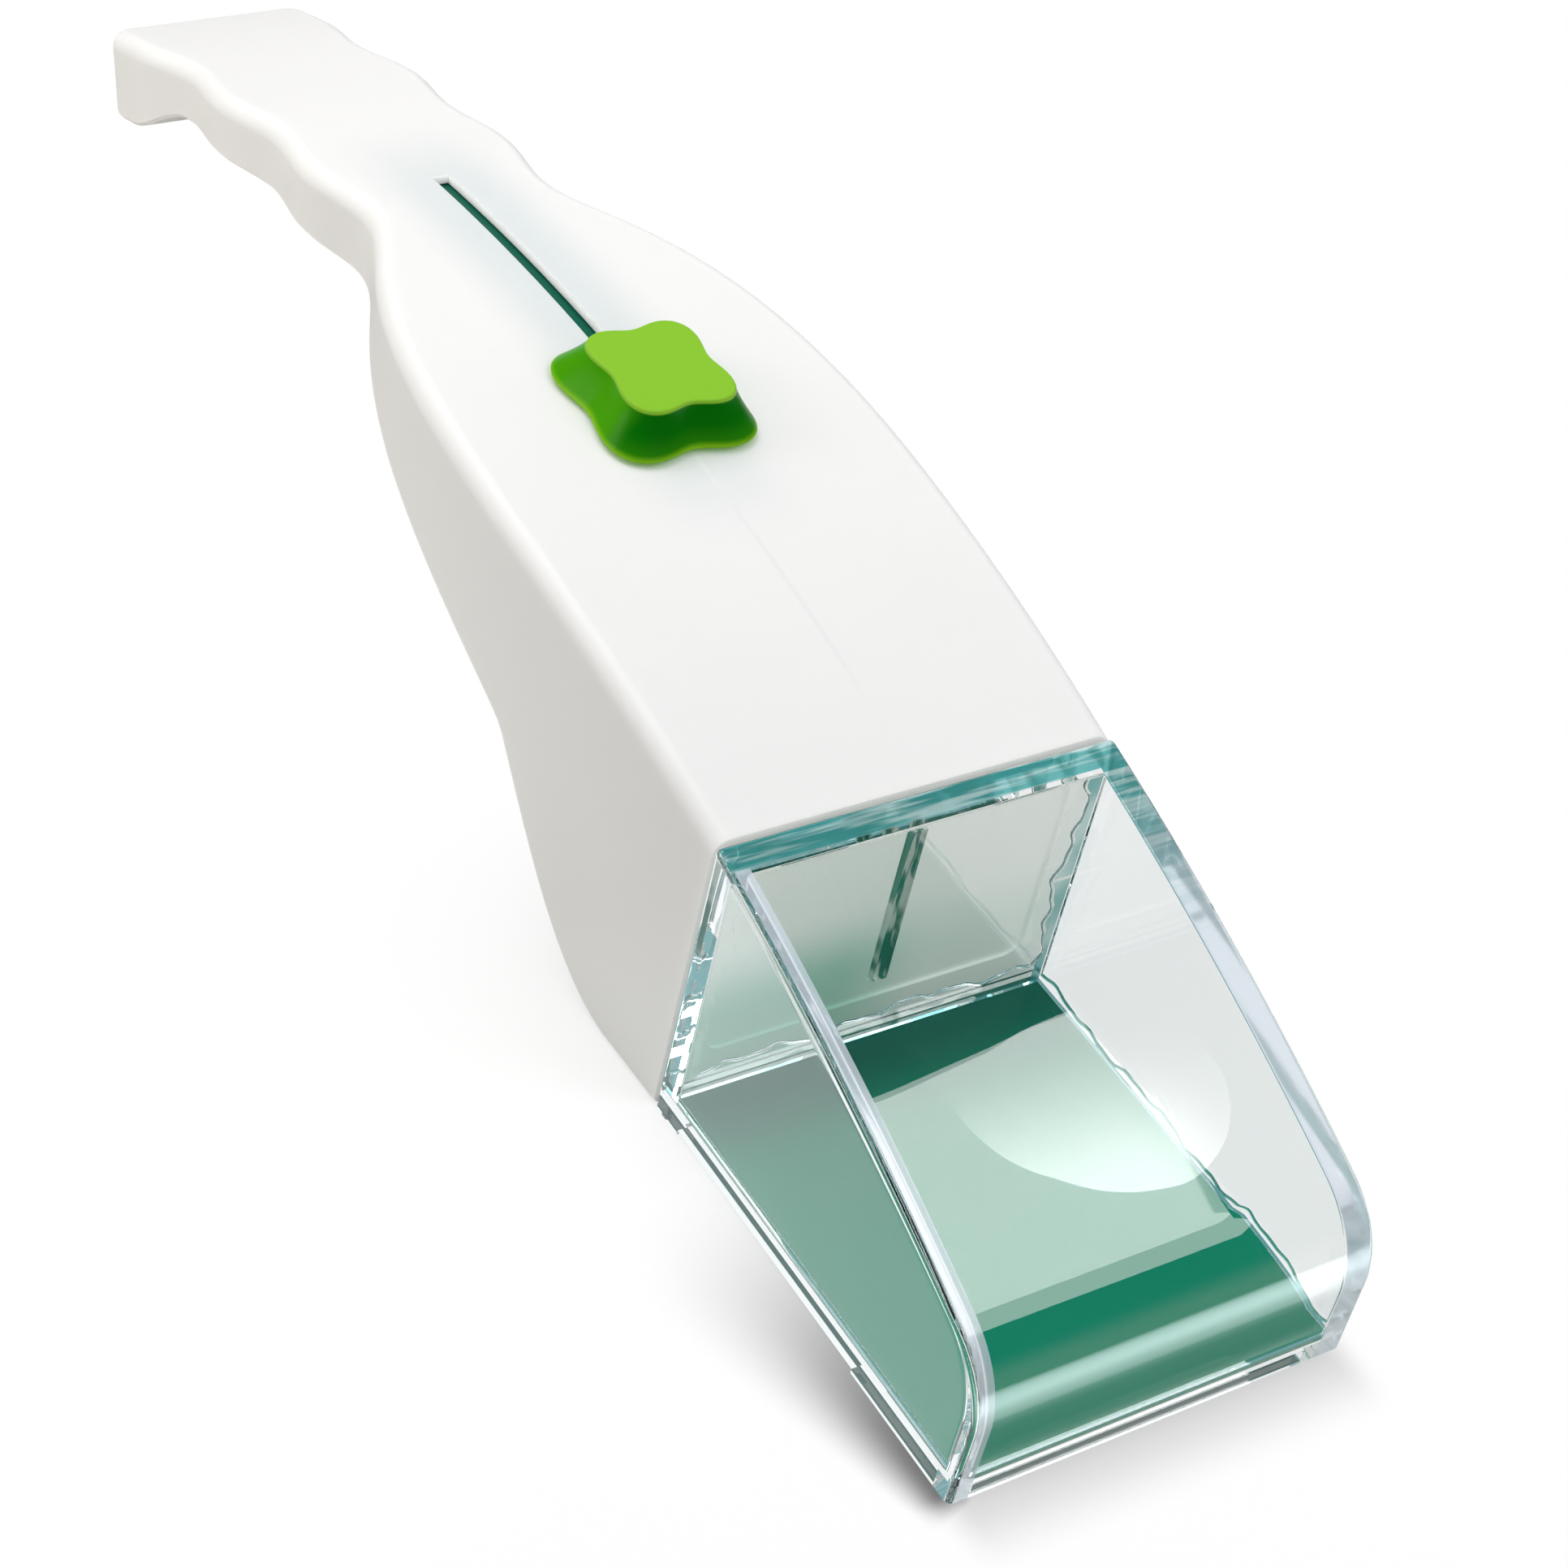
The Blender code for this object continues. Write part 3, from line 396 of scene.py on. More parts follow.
# %% [markdown]
# ## Clear plastic
#
# The box is a clear moulding with walls thick enough to see into from above. A glass-like
# Principled shader with the plastic's own index bends and mirrors light as the real walls do. For
# shadow and diffuse rays it is simply see-through, because tracing light through every wall would
# only add noise. The narrow faces on top of the walls are different: one looks down the whole
# height of a wall there, so they carry a pale blue painted reflection, and along the rear a
# blue-green painted reflection of the film with painted streaks of glint. The rib behind the back
# wall carries the film's green in patches as a painted reflection, with pale painted glints.

# %% Clear plastic
CLEAR = (0.990, 0.996, 0.996, 1.0)
CLEAR_SHADOW = (0.985, 0.992, 0.990, 1.0)
CLEAR_INDEX = 1.59


def set_surface(tree, shader):
    tree.links.new(shader.outputs[0], tree.nodes["Material Output"].inputs["Surface"])


def see_through_for_light(tree, shader, tint=CLEAR_SHADOW, share=1.0):
    """Lets a share of shadow and diffuse rays pass straight through, and keeps the shader for all others."""
    ray = add_node(tree, "ShaderNodeLightPath").outputs
    through = add_node(tree, "ShaderNodeBsdfTransparent", {"Color": tint})
    passing = times(tree, calculate(tree, "MAXIMUM", ray["Is Shadow Ray"], ray["Is Diffuse Ray"]), share)
    inputs = {0: passing, 1: shader.outputs[0], 2: through.outputs[0]}
    set_surface(tree, add_node(tree, "ShaderNodeMixShader", inputs))


def new_clear(name, clearness=1.0):
    material, tree, shader = new_material(name)
    fill(tree, shader, {"Transmission Weight": clearness, "IOR": CLEAR_INDEX})
    see_through_for_light(tree, shader)
    return material, tree, shader


def build_clear():
    material, tree, shader = new_clear("clear_box")
    marks = use_group(tree, hairlines, Amount=0.03, Fineness=1.0)
    waves = noise(tree, place_of(tree), 45.0, 1.0)
    inputs = {
        "Base Color": CLEAR,
        "Roughness": marks["Mask"],
        "Normal": bump(tree, waves, 0.05, 0.0010),
    }
    fill(tree, shader, inputs)
    return material


clear_plastic = build_clear()
print("material:", clear_plastic.name)

# %% Cut edges and rib
RIGHT_BAND = HOOD_WALL + 0.0018
REAR_BAND = HOOD_WALL + 0.0011
# Painted reflections on the narrow faces: pale blue, the film's blue-green along the rear, glint streaks.
EDGE_PAINTED_PALE_REFLECTION = (0.74, 0.81, 0.90, 1.0)
EDGE_PAINTED_FILM_REFLECTION = (0.070, 0.380, 0.380, 1.0)
EDGE_PAINTED_GLINT = (0.55, 0.78, 0.79, 1.0)
EDGE_CLEARNESS = 0.50
EDGE_REAR = (JOINT_Y - REAR_BAND - 0.0004, JOINT_Y - REAR_BAND + 0.0002)
EDGE_RIGHT_ACROSS = (0.0, 0.010)
EDGE_RIGHT_ALONG = (JOINT_Y - 0.034, JOINT_Y - 0.004)
EDGE_STREAKS = (55.0, 900.0, 55.0)
# Painted reflection of the film's green on the rib, in patches between pale painted glints.
RIB_PAINTED_FILM_REFLECTION = (0.010, 0.190, 0.120, 1.0)
RIB_PAINTED_GLINT = (0.74, 0.82, 0.78, 1.0)
RIB_CLEARNESS = 0.25
RIB_PATCHES = (900.0, 60.0, 150.0)
# Painted film green on the right weld, for the film seen through it.
WELD_PAINTED_FILM_GREEN = (0.02, 0.34, 0.22, 1.0)


def build_clear_edge():
    material, tree, shader = new_clear("clear_box_edges", EDGE_CLEARNESS)
    place = place_of(tree)
    axes = axes_of(tree, place)
    rear = step_between(tree, axes["Y"], *EDGE_REAR)
    right = step_between(tree, axes["X"], *EDGE_RIGHT_ACROSS)
    right = times(tree, right, step_between(tree, axes["Y"], *EDGE_RIGHT_ALONG))
    painted_glint_share = step_between(tree, stretched_noise(tree, place, EDGE_STREAKS), 0.42, 0.60)
    painted_film_reflection = mix_colour(tree, painted_glint_share, EDGE_PAINTED_FILM_REFLECTION, EDGE_PAINTED_GLINT)
    paint = mix_colour(tree, calculate(tree, "MAXIMUM", rear, right), EDGE_PAINTED_PALE_REFLECTION, painted_film_reflection)
    fill(tree, shader, {"Base Color": paint, "Roughness": 0.12})
    return material


def build_rib_painted_reflection():
    material, tree, shader = new_clear("clear_box_rib", RIB_CLEARNESS)
    patches = step_between(tree, stretched_noise(tree, place_of(tree), RIB_PATCHES), 0.44, 0.58)
    paint = mix_colour(tree, patches, RIB_PAINTED_FILM_REFLECTION, RIB_PAINTED_GLINT)
    fill(tree, shader, {"Base Color": paint, "Roughness": 0.10})
    return material


def build_weld_painted_film_green():
    """Weld beside the film, painted with the film's green as the film would show through it."""
    material, tree, shader = new_clear("clear_box_weld")
    fill(tree, shader, {"Base Color": WELD_PAINTED_FILM_GREEN})
    return material


clear_edge_painted_reflection = build_clear_edge()
weld_painted_film_green = build_weld_painted_film_green()
rib_painted_reflection = build_rib_painted_reflection()
print("materials:", clear_edge_painted_reflection.name, rib_painted_reflection.name, weld_painted_film_green.name)

# %% [markdown]
# ## Green film and green slider
#
# The film is a glossy dark green sheet with hairlines from sliding, painted darker for the shade it
# lies in from a little before it turns up behind the box. The slider is a brighter, slightly
# see-through green with painted light and shade: its flat top is a painted lit lime, its sides are
# green and its front a painted shade of deep green, and a painted yellow-green glow at its thin base
# stands for light that travels inside it. The height above the body, measured from the arc's
# centre, tells those zones apart.

# %% Green film
FILM_GREEN = (0.0, 0.180, 0.096, 1.0)
FILM_PALE = (0.0, 0.220, 0.130, 1.0)
# Painted shade on the film, from a little before the joint and all the way under the body.
FILM_PAINTED_SHADE = (0.0, 0.100, 0.060, 1.0)
FILM_PAINTED_SHADE_ALONG = (JOINT_Y - 0.012, JOINT_Y + 0.200, 0.007)


def build_film():
    material, tree, shader = new_material("green_sheet")
    skin = use_group(tree, moulded_skin, Grain_Scale=900.0, Roughness=0.14, Drift=0.06)
    marks = use_group(tree, hairlines, Amount=0.55, Fineness=1.4)["Mask"]
    cloudy = times(tree, skin["Cloud"], 0.5)
    scratched = calculate(tree, "MAXIMUM", cloudy, times(tree, marks, 0.8))
    paint = mix_colour(tree, scratched, FILM_GREEN, FILM_PALE)
    paint = mix_colour(tree, band(tree, axes_of(tree)["Y"], *FILM_PAINTED_SHADE_ALONG), paint, FILM_PAINTED_SHADE)
    waves = noise(tree, place_of(tree), 30.0, 1.0)
    inputs = {
        "Base Color": paint,
        "Roughness": calculate(tree, "ADD", skin["Roughness"], times(tree, marks, 0.25)),
        "Normal": bump(tree, waves, 0.06, 0.001),
        "Specular IOR Level": 0.08,
    }
    fill(tree, shader, inputs)
    return material


film_green = build_film()
print("material:", film_green.name)

# %% Green slider
# Painted light and shade on the slider: a lit lime top, a shaded deep front, a glow at the base.
SLIDER_PAINTED_LIT_TOP = (0.225, 0.490, 0.030, 1.0)
SLIDER_SIDE = (0.050, 0.300, 0.0, 1.0)
SLIDER_PAINTED_FRONT_SHADE = (0.0, 0.130, 0.0, 1.0)
SLIDER_PAINTED_BASE_GLOW = (0.24, 0.52, 0.010, 1.0)
SLIDER_THROUGH = (0.55, 0.85, 0.20, 1.0)
SLIDER_THROUGH_SHARE = 0.5
SLIDER_BASE = 0.0004
SLIDER_HEIGHT = 0.0062
SLIDER_FRONT = (SLIDER_Y - CREST_Y - 0.0095, SLIDER_Y - CREST_Y - 0.0050)
SLIDER_LOW_SIDE = (0.0004, 0.0036, 0.35)
SLIDER_GLOWING = (0.0003, 0.0014, 0.9)
SLIDER_TOP = (SLIDER_HEIGHT - 0.0006, SLIDER_HEIGHT - 0.0003)


def vector_maths(tree, operation, a, b=(0.0, 0.0, 0.0)):
    return add_node(tree, "ShaderNodeVectorMath", {0: a, 1: b}, operation=operation).outputs


def build_slider_green():
    material, tree, shader = new_material("green_slider")
    skin = use_group(tree, moulded_skin, Grain_Scale=2600.0, Roughness=0.30, Drift=0.06)
    arm = vector_maths(tree, "SUBTRACT", place_of(tree), tuple(PLACE @ PIVOT))[0]
    length = vector_maths(tree, "LENGTH", arm)["Value"]
    height = calculate(tree, "SUBTRACT", length, ARC_RADIUS + SLIDER_BASE)
    # Painted shade on the front, painted glow at the base and painted light on the top.
    paint = mix_colour(tree, fade(tree, axes_of(tree, arm)["Y"], *SLIDER_FRONT), SLIDER_SIDE, SLIDER_PAINTED_FRONT_SHADE)
    paint = mix_colour(tree, fade(tree, height, *SLIDER_LOW_SIDE), paint, SLIDER_SIDE)
    paint = mix_colour(tree, fade(tree, height, *SLIDER_GLOWING), paint, SLIDER_PAINTED_BASE_GLOW)
    paint = mix_colour(tree, step_between(tree, height, *SLIDER_TOP), paint, SLIDER_PAINTED_LIT_TOP)
    inputs = {
        "Base Color": paint,
        "Roughness": skin["Roughness"],
        "Normal": bump(tree, skin["Height"], 0.05, 0.0002),
        "Specular IOR Level": 0.08,
    }
    fill(tree, shader, inputs)
    see_through_for_light(tree, shader, SLIDER_THROUGH, SLIDER_THROUGH_SHARE)
    return material


slider_green = build_slider_green()
print("material:", slider_green.name)

# %% [markdown]
# ## Screw steel
#
# Three small plated screws hold the cover under the grip. Plating is bright metal of one colour
# with a fine grain, so only its gloss varies.

# %% Screw steel
STEEL = (0.62, 0.62, 0.60, 1.0)


def build_steel():
    material, tree, shader = new_material("screw_plating")
    skin = use_group(tree, moulded_skin, Grain_Scale=6000.0, Roughness=0.28, Drift=0.15)
    inputs = {
        "Base Color": STEEL,
        "Metallic": 1.0,
        "Roughness": skin["Roughness"],
        "Normal": bump(tree, skin["Height"], 0.1, 0.0001),
    }
    fill(tree, shader, inputs)
    return material


steel = build_steel()
print("material:", steel.name)

# %% [markdown]
# ## Small mesh helpers
#
# Most pieces here are lofts: rings of points joined by quads and closed at both ends. A piece is
# finished when its modifiers are turned into plain mesh and its place is in its vertices, with the
# object itself at the origin.

# %% Mesh helpers


def loft(rings):
    """Closed solid through rings of equal length."""
    shape = bmesh.new()
    rows = [[shape.verts.new(point) for point in ring] for ring in rings]
    count = len(rows[0])
    for first, second in zip(rows, rows[1:]):
        for i in range(count):
            j = (i + 1) % count
            shape.faces.new((first[i], first[j], second[j], second[i]))
    shape.faces.new(rows[0])
    shape.faces.new(reversed(rows[-1]))
    return shape


def box(low, high):
    (x0, y0, z0), (x1, y1, z1) = low, high
    corners = ((x0, y0), (x1, y0), (x1, y1), (x0, y1))
    return loft([[Vector((x, y, z)) for x, y in corners] for z in (z0, z1)])


def moved(shape, matrix):
    bmesh.ops.transform(shape, matrix=matrix, verts=shape.verts)
    return shape


def link_object(name, data):
    piece = bpy.data.objects.new(name, data)
    scene.collection.objects.link(piece)
    return piece


def new_object(name, shape, material=None):
    """Object from a bmesh in the body's frame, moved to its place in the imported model."""
    bmesh.ops.recalc_face_normals(shape, faces=shape.faces)
    mesh = bpy.data.meshes.new(name)
    moved(shape, PLACE).to_mesh(mesh)
    shape.free()
    if material is not None:
        mesh.materials.append(material)
    return link_object(name, mesh)


def cut(piece, shape, operation="DIFFERENCE"):
    """Adds shape to piece or takes it away, and drops the helper again."""
    tool = new_object(piece.name + "_tool", shape)
    boolean = piece.modifiers.new("tool", "BOOLEAN")
    boolean.operation = operation
    boolean.solver = "EXACT"
    boolean.object = tool
    settle(piece)
    bpy.data.objects.remove(tool, do_unlink=True)


def settle(piece):
    """Turns the piece's modifiers into plain mesh."""
    depsgraph = bpy.context.evaluated_depsgraph_get()
    mesh = bpy.data.meshes.new_from_object(piece.evaluated_get(depsgraph))
    piece.modifiers.clear()
    piece.data = mesh


def bevel_edges(piece, width, segments, angle=40.0):
    bevel = piece.modifiers.new("edges", "BEVEL")
    bevel.width = width
    bevel.segments = segments
    bevel.limit_method = "ANGLE"
    bevel.angle_limit = math.radians(angle)
    bevel.use_clamp_overlap = True
    settle(piece)


def smooth(piece, angle=35.0):
    """Smooth shading that large flat faces hold straight, with sharp edges kept."""
    piece.data.shade_smooth()
    piece.data.set_sharp_from_angle(angle=math.radians(angle))
    weighted = piece.modifiers.new("weighted", "WEIGHTED_NORMAL")
    weighted.keep_sharp = True
    weighted.weight = 90
    settle(piece)


# %% [markdown]
# ## The clear box
#
# The box is one thick-walled moulding: its top goes on the body's arc to a big round at the front,
# and it is hollow inside and open underneath. Its outer edges have a small round, and so have the
# inner ones, because those rounds catch the bright lines that make clear plastic readable. It is
# cut as it would be drawn: an outer block, then the chamber, the mouth, the groove for the film's
# edges, and a shallow relief under each side. The walls are welded with solvent, which leaves a
# thin layer with a wandering edge along their inner corners.

# %% Sizes of the clear box
HOOD_INNER = HALF_HOOD - HOOD_WALL
HOOD_STEP_DOWN = 0.00025
HOOD_FRONT_RADIUS = 0.0140
HOOD_INNER_FRONT_RADIUS = 0.0134
HOOD_EDGE_RADIUS = 0.0010
HOOD_INNER_RADIUS = 0.0009
HOOD_LEDGE_REACH = 0.0020
HOOD_LEDGE = HOOD_INNER - HOOD_LEDGE_REACH
HOOD_RELIEF_FRONT = 0.0500
HOOD_RELIEF_REAR = 0.0060
HOOD_RELIEF_HEIGHT = 0.0008
HOOD_RIB_WIDTH = 0.0024
HOOD_RIB_REACH = 0.0018
HOOD_RIB_BOTTOM = 0.0130
HOOD_RIB_HEADROOM = 0.0035
HOOD_LUG_X = 0.0170
HOOD_LUG_WIDTH = 0.0100
HOOD_LUG_REACH = 0.0080
HOOD_LUG_THICKNESS = 0.0018
MOUTH_TOP = FILM_HEIGHT - FILM_THICKNESS / 2 - RUNNING_GAP
FILM_ROOF = FILM_HEIGHT + FILM_THICKNESS / 2 + RUNNING_GAP
FRONT_STEPS = 32
HOOD_SPARE = 0.0040
GRAZE = 0.00001
UP = Vector((0.0, 0.0, 1.0))
FORWARD = Vector((0.0, -1.0, 0.0))
print("film runs in a groove", round((FILM_ROOF - MOUTH_TOP) * 1000, 1), "mm high")

# %% Outline of the clear box


def mix(a, b, share):
    return a + (b - a) * share


def spread(first, last, steps):
    """Evenly spaced values from first to last, both included."""
    return [mix(first, last, i / steps) for i in range(steps + 1)]


def arc_point(radius, angle):
    """Point (y, z) at an angle about the pivot, from the crest towards the grip."""
    return CREST_Y + radius * math.sin(angle), PIVOT.z + radius * math.cos(angle)


def arc_angle(y, radius=ARC_RADIUS):
    """Angle about the pivot, from the crest towards the grip, of an arc's point at y."""
    return math.asin((y - CREST_Y) / radius)


def arc_height(y):
    return arc_point(ARC_RADIUS, arc_angle(y))[1]


def hood_profile(inset, bottom, front_radius):
    """Side outline (y, z) of the box, drawn in by inset, with a round front of the given radius."""
    back = -inset
    front = inset - HOOD_LENGTH
    top_radius = ARC_RADIUS - HOOD_STEP_DOWN - inset
    centre_y = front + front_radius
    front_angle = arc_angle(centre_y, top_radius - front_radius)
    centre_z = arc_point(top_radius - front_radius, front_angle)[1]
    over_wall = arc_angle(back - REAR_BAND, top_radius)
    top_angles = [arc_angle(back, top_radius)] + spread(over_wall, front_angle, FRONT_STEPS)
    outline = [(back, bottom)] + [arc_point(top_radius, angle) for angle in top_angles]
    for angle in spread(math.pi / 2 - front_angle, math.pi, FRONT_STEPS)[1:]:
        outline.append((centre_y + front_radius * math.cos(angle), centre_z + front_radius * math.sin(angle)))
    return outline + [(front, bottom)]


def slab(profile, *marks):
    """Prism of a side outline, with an edge loop at each mark across."""
    return loft([[Vector((x, y, z)) for y, z in profile] for x in marks])


def rounded(shape, width, segments):
    """Copy of a shape with its edges rounded."""
    helper = new_object("rounded_helper", shape)
    bevel_edges(helper, width, segments)
    result = bmesh.new()
    result.from_mesh(helper.data)
    bpy.data.objects.remove(helper, do_unlink=True)
    return moved(result, PLACE.inverted())


LUG_TOP = arc_height(0.0) - BODY_WALL - RUNNING_GAP
print("lugs end", round(LUG_TOP * 1000, 1), "mm above the rim")

# %% Welds of the clear box
WELD_STATIONS = 64
WELD_STEPS = 6
WELD_THICKNESS = 0.00025
WELD_SLOPE = 0.0006
LEFT_WELD = (0.0008, 0.0010)
RIGHT_WELD = (0.0008, 0.0026)
CORNER_WELD = (0.0012, 0.0040)
LIP_WELD = (0.0034, 0.0054)


def quarter_turn(steps):
    """Angles from zero to a right angle, both included."""
    return [i / steps * math.pi / 2 for i in range(steps + 1)]


def uneven(position, seed):
    """Irregular wave between 0 and 1 along an edge, from three sines that never fall in step."""
    slow = math.sin(260.0 * position + seed)
    middle = math.sin(690.0 * position + 2.1 * seed)
    quick = math.sin(1490.0 * position + 3.7 * seed)
    return 0.5 + (slow + 0.8 * middle + 0.35 * quick) / 4.3


def weld(start, end, out, along_wall, reaches, seed):
    """Thin layer on a wall beside a corner, whose free edge wanders between its two reaches."""
    rings = []
    length = (end - start).length
    for share in spread(0.0, 1.0, WELD_STATIONS):
        corner = start.lerp(end, share)
        reach = mix(*reaches, uneven(share * length, seed))
        section = [(-OVERLAP, 0.0), (WELD_THICKNESS, 0.0)]
        for angle in quarter_turn(WELD_STEPS):
            section.append((WELD_THICKNESS * math.cos(angle), reach - WELD_SLOPE * (1 - math.sin(angle))))
        section.append((-OVERLAP, reach))
        rings.append([corner + out * a + along_wall * b for a, b in section])
    return loft(rings)


# %% Cuts and lugs of the clear box


def hollow_out(hood):
    """Cuts the flat rim, the chamber, the mouth, the film's groove and its way out at the back."""
    cut(hood, box((-HOOD_WIDTH, -2 * HOOD_LENGTH, -2 * HOOD_SPARE), (HOOD_WIDTH, HOOD_LENGTH, 0.0)))
    cavity = hood_profile(HOOD_WALL, MOUTH_TOP, HOOD_INNER_FRONT_RADIUS)
    cut(hood, rounded(slab(cavity, -HOOD_INNER, HOOD_INNER), HOOD_INNER_RADIUS, 4))
    mouth_front = HOOD_WALL + HOOD_LEDGE_REACH - HOOD_LENGTH
    cut(hood, box((-HOOD_LEDGE, mouth_front, -OVERLAP), (HOOD_LEDGE, OVERLAP, MOUTH_TOP + 2 * OVERLAP)))
    groove = HOOD_INNER + HOOD_GROOVE_DEPTH
    groove_front = HOOD_WALL - HOOD_GROOVE_DEPTH - HOOD_LENGTH
    cut(hood, box((-groove, groove_front, MOUTH_TOP), (groove, OVERLAP, FILM_ROOF)))
    way_out = ((-HOOD_INNER, -HOOD_WALL - OVERLAP, MOUTH_TOP), (HOOD_INNER, OVERLAP, FILM_ROOF + OVERLAP))
    cut(hood, box(*way_out))


def finish_side(hood, sign):
    """Cuts the relief under one side and adds the welds in its corners and its lug."""
    near, far = sorted((sign * (HOOD_LEDGE - OVERLAP), sign * (HALF_HOOD + OVERLAP)))
    cut(hood, box((near, -HOOD_RELIEF_FRONT, -OVERLAP), (far, -HOOD_RELIEF_REAR, HOOD_RELIEF_HEIGHT)))
    inward = Vector((-sign, 0.0, 0.0))
    front_low = Vector((sign * HOOD_INNER, HOOD_WALL - HOOD_LENGTH, FILM_ROOF))
    rear_low = Vector((sign * HOOD_INNER, -HOOD_WALL, FILM_ROOF))
    rear_high = Vector((sign * HOOD_INNER, -HOOD_WALL, arc_height(-HOOD_WALL) - HOOD_WALL - OVERLAP))
    side_weld = RIGHT_WELD if sign > 0 else LEFT_WELD
    cut(hood, weld(front_low, rear_low, inward, UP, side_weld, seed=4.0), "UNION")
    cut(hood, weld(rear_low, rear_high, FORWARD, inward, CORNER_WELD, seed=8.0 + sign), "UNION")
    low = (sign * HOOD_LUG_X - HOOD_LUG_WIDTH / 2, -OVERLAP, LUG_TOP - HOOD_LUG_THICKNESS)
    high = (sign * HOOD_LUG_X + HOOD_LUG_WIDTH / 2, HOOD_LUG_REACH, LUG_TOP)
    cut(hood, box(low, high), "UNION")


# %% Narrow faces of the clear box
TOP_FACING = 0.15
FRONT_FACING = -0.9
SIDE_FACING = 0.3
LEVEL_FACING = 0.8
REAR_EDGE_DEPTH = 0.003


def finish_faces(hood):
    """Painted reflections on the faces over the walls and lugs, painted film green on rib and right weld."""
    weld_face = HOOD_INNER + GRAZE / 2
    for material in (clear_edge_painted_reflection, rib_painted_reflection, weld_painted_film_green):
        hood.data.materials.append(material)
    for face in hood.data.polygons:
        middle, normal = face.center, face.normal
        across, along = abs(middle.x), middle.y - JOINT_Y
        outside = normal.z > TOP_FACING or normal.y < FRONT_FACING
        banded = RIGHT_BAND if middle.x > 0 else HOOD_WALL
        over_side = across > HALF_HOOD - banded and outside and abs(normal.x) < SIDE_FACING
        high = normal.z > LEVEL_FACING and middle.z > arc_height(0.0) - REAR_EDGE_DEPTH
        behind = along > OVERLAP / 2
        on_weld = -WELD_THICKNESS < middle.x - weld_face < -GRAZE and middle.z < FILM_ROOF + RIGHT_WELD[1]
        if over_side or (high and along > -REAR_BAND) or (behind and across > HOOD_RIB_WIDTH):
            face.material_index = 1
        elif behind and across < HOOD_RIB_WIDTH:
            face.material_index = 2
        elif on_weld:
            face.material_index = 3 if along < -HOOD_WALL - GRAZE else 0


# %% Clear box


def build_hood():
    marks = (-HALF_HOOD, -HOOD_INNER, HALF_HOOD - RIGHT_BAND, HALF_HOOD)
    outer = slab(hood_profile(0.0, -HOOD_SPARE, HOOD_FRONT_RADIUS), *marks)
    hood = new_object("clear_hood_moulding", rounded(outer, HOOD_EDGE_RADIUS, 5), clear_plastic)
    hollow_out(hood)
    rib_half = HOOD_RIB_WIDTH / 2
    rib_top = LUG_TOP - HOOD_LUG_THICKNESS - HOOD_RIB_HEADROOM
    cut(hood, box((-rib_half, -OVERLAP, HOOD_RIB_BOTTOM), (rib_half, HOOD_RIB_REACH, rib_top)), "UNION")
    for sign in (-1, 1):
        finish_side(hood, sign)
    lip_ends = [Vector((sign * (HOOD_INNER - OVERLAP), -HOOD_WALL, FILM_ROOF)) for sign in (-1, 1)]
    cut(hood, weld(*lip_ends, FORWARD, UP, LIP_WELD, seed=5.0), "UNION")
    finish_faces(hood)
    smooth(hood, 30.0)
    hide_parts("clear_hood")
    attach(hood, "catcher")
    return hood


clear_hood = build_hood()
print(clear_hood.name, len(clear_hood.data.polygons), "faces")

# %% [markdown]
# ## The white body
#
# Seen from above, the body swells a little, draws in to a neck, and runs on as a grip with finger
# waves. Its top is one long arc, and its underside rises from a flat heel. Each section is an
# upside-down U. The body is a loft of many such sections, so the formulas for width and depth are
# the whole shape, and a finer loft is a smoother body.

# %% Sizes of the body
SHOULDER_Y = 0.0550
SHOULDER_HALF_WIDTH = HALF_HOOD + 0.0010
SHOULDER_PULL = 0.0600
NECK_Y = 0.1330
NECK_HALF_WIDTH = 0.0160
NECK_PULL = 0.0140
GRIP_WAVE_PITCH = 0.0296
GRIP_WAVE_HEIGHT = 0.0019
GRIP_WAVES = 3
END_RADIUS = 0.0040
END_SIDE_RADIUS = 0.0056
END_RIM_RADIUS = 0.0060
HEEL_LENGTH = 0.0130
HEEL_PULL = 0.0140
KNEE = Vector((0.0497, 0.0263))
KNEE_DIRECTION = Vector((1.0, 1.03))
KNEE_PULL_BELOW = 0.0097
KNEE_PULL_ABOVE = 0.0023
GRIP_ROOT_Y = 0.1220
GRIP_ROOT_DEPTH = 0.0120
GRIP_ROOT = Vector((GRIP_ROOT_Y, arc_height(GRIP_ROOT_Y) - GRIP_ROOT_DEPTH))
GRIP_ROOT_HANDLE = Vector((0.0220, 0.0010))
GRIP_END_DEPTH = 0.0092
LIP_START_Y = BODY_LENGTH - 0.0268
LIP_LENGTH = 0.0170
LIP_DROP = 0.0050
SHOULDER_CURVE = (
    (SHOULDER_Y, SHOULDER_HALF_WIDTH),
    (SHOULDER_Y + SHOULDER_PULL, SHOULDER_HALF_WIDTH),
    (NECK_Y - NECK_PULL, NECK_HALF_WIDTH),
    (NECK_Y, NECK_HALF_WIDTH),
)
HEEL_CURVE = (
    (HEEL_LENGTH, 0.0),
    (HEEL_LENGTH + HEEL_PULL, 0.0),
    KNEE - KNEE_DIRECTION * KNEE_PULL_BELOW,
    KNEE,
)
GRIP_CURVE = (KNEE, KNEE + KNEE_DIRECTION * KNEE_PULL_ABOVE, GRIP_ROOT - GRIP_ROOT_HANDLE, GRIP_ROOT)
print("underside of the grip starts", round(GRIP_ROOT.y * 1000, 1), "mm up")

# %% Body outline


def bezier(points, t):
    a, b, c, d = (Vector(p) for p in points)
    u = 1.0 - t
    return a * u**3 + b * (3 * u * u * t) + c * (3 * u * t * t) + d * t**3


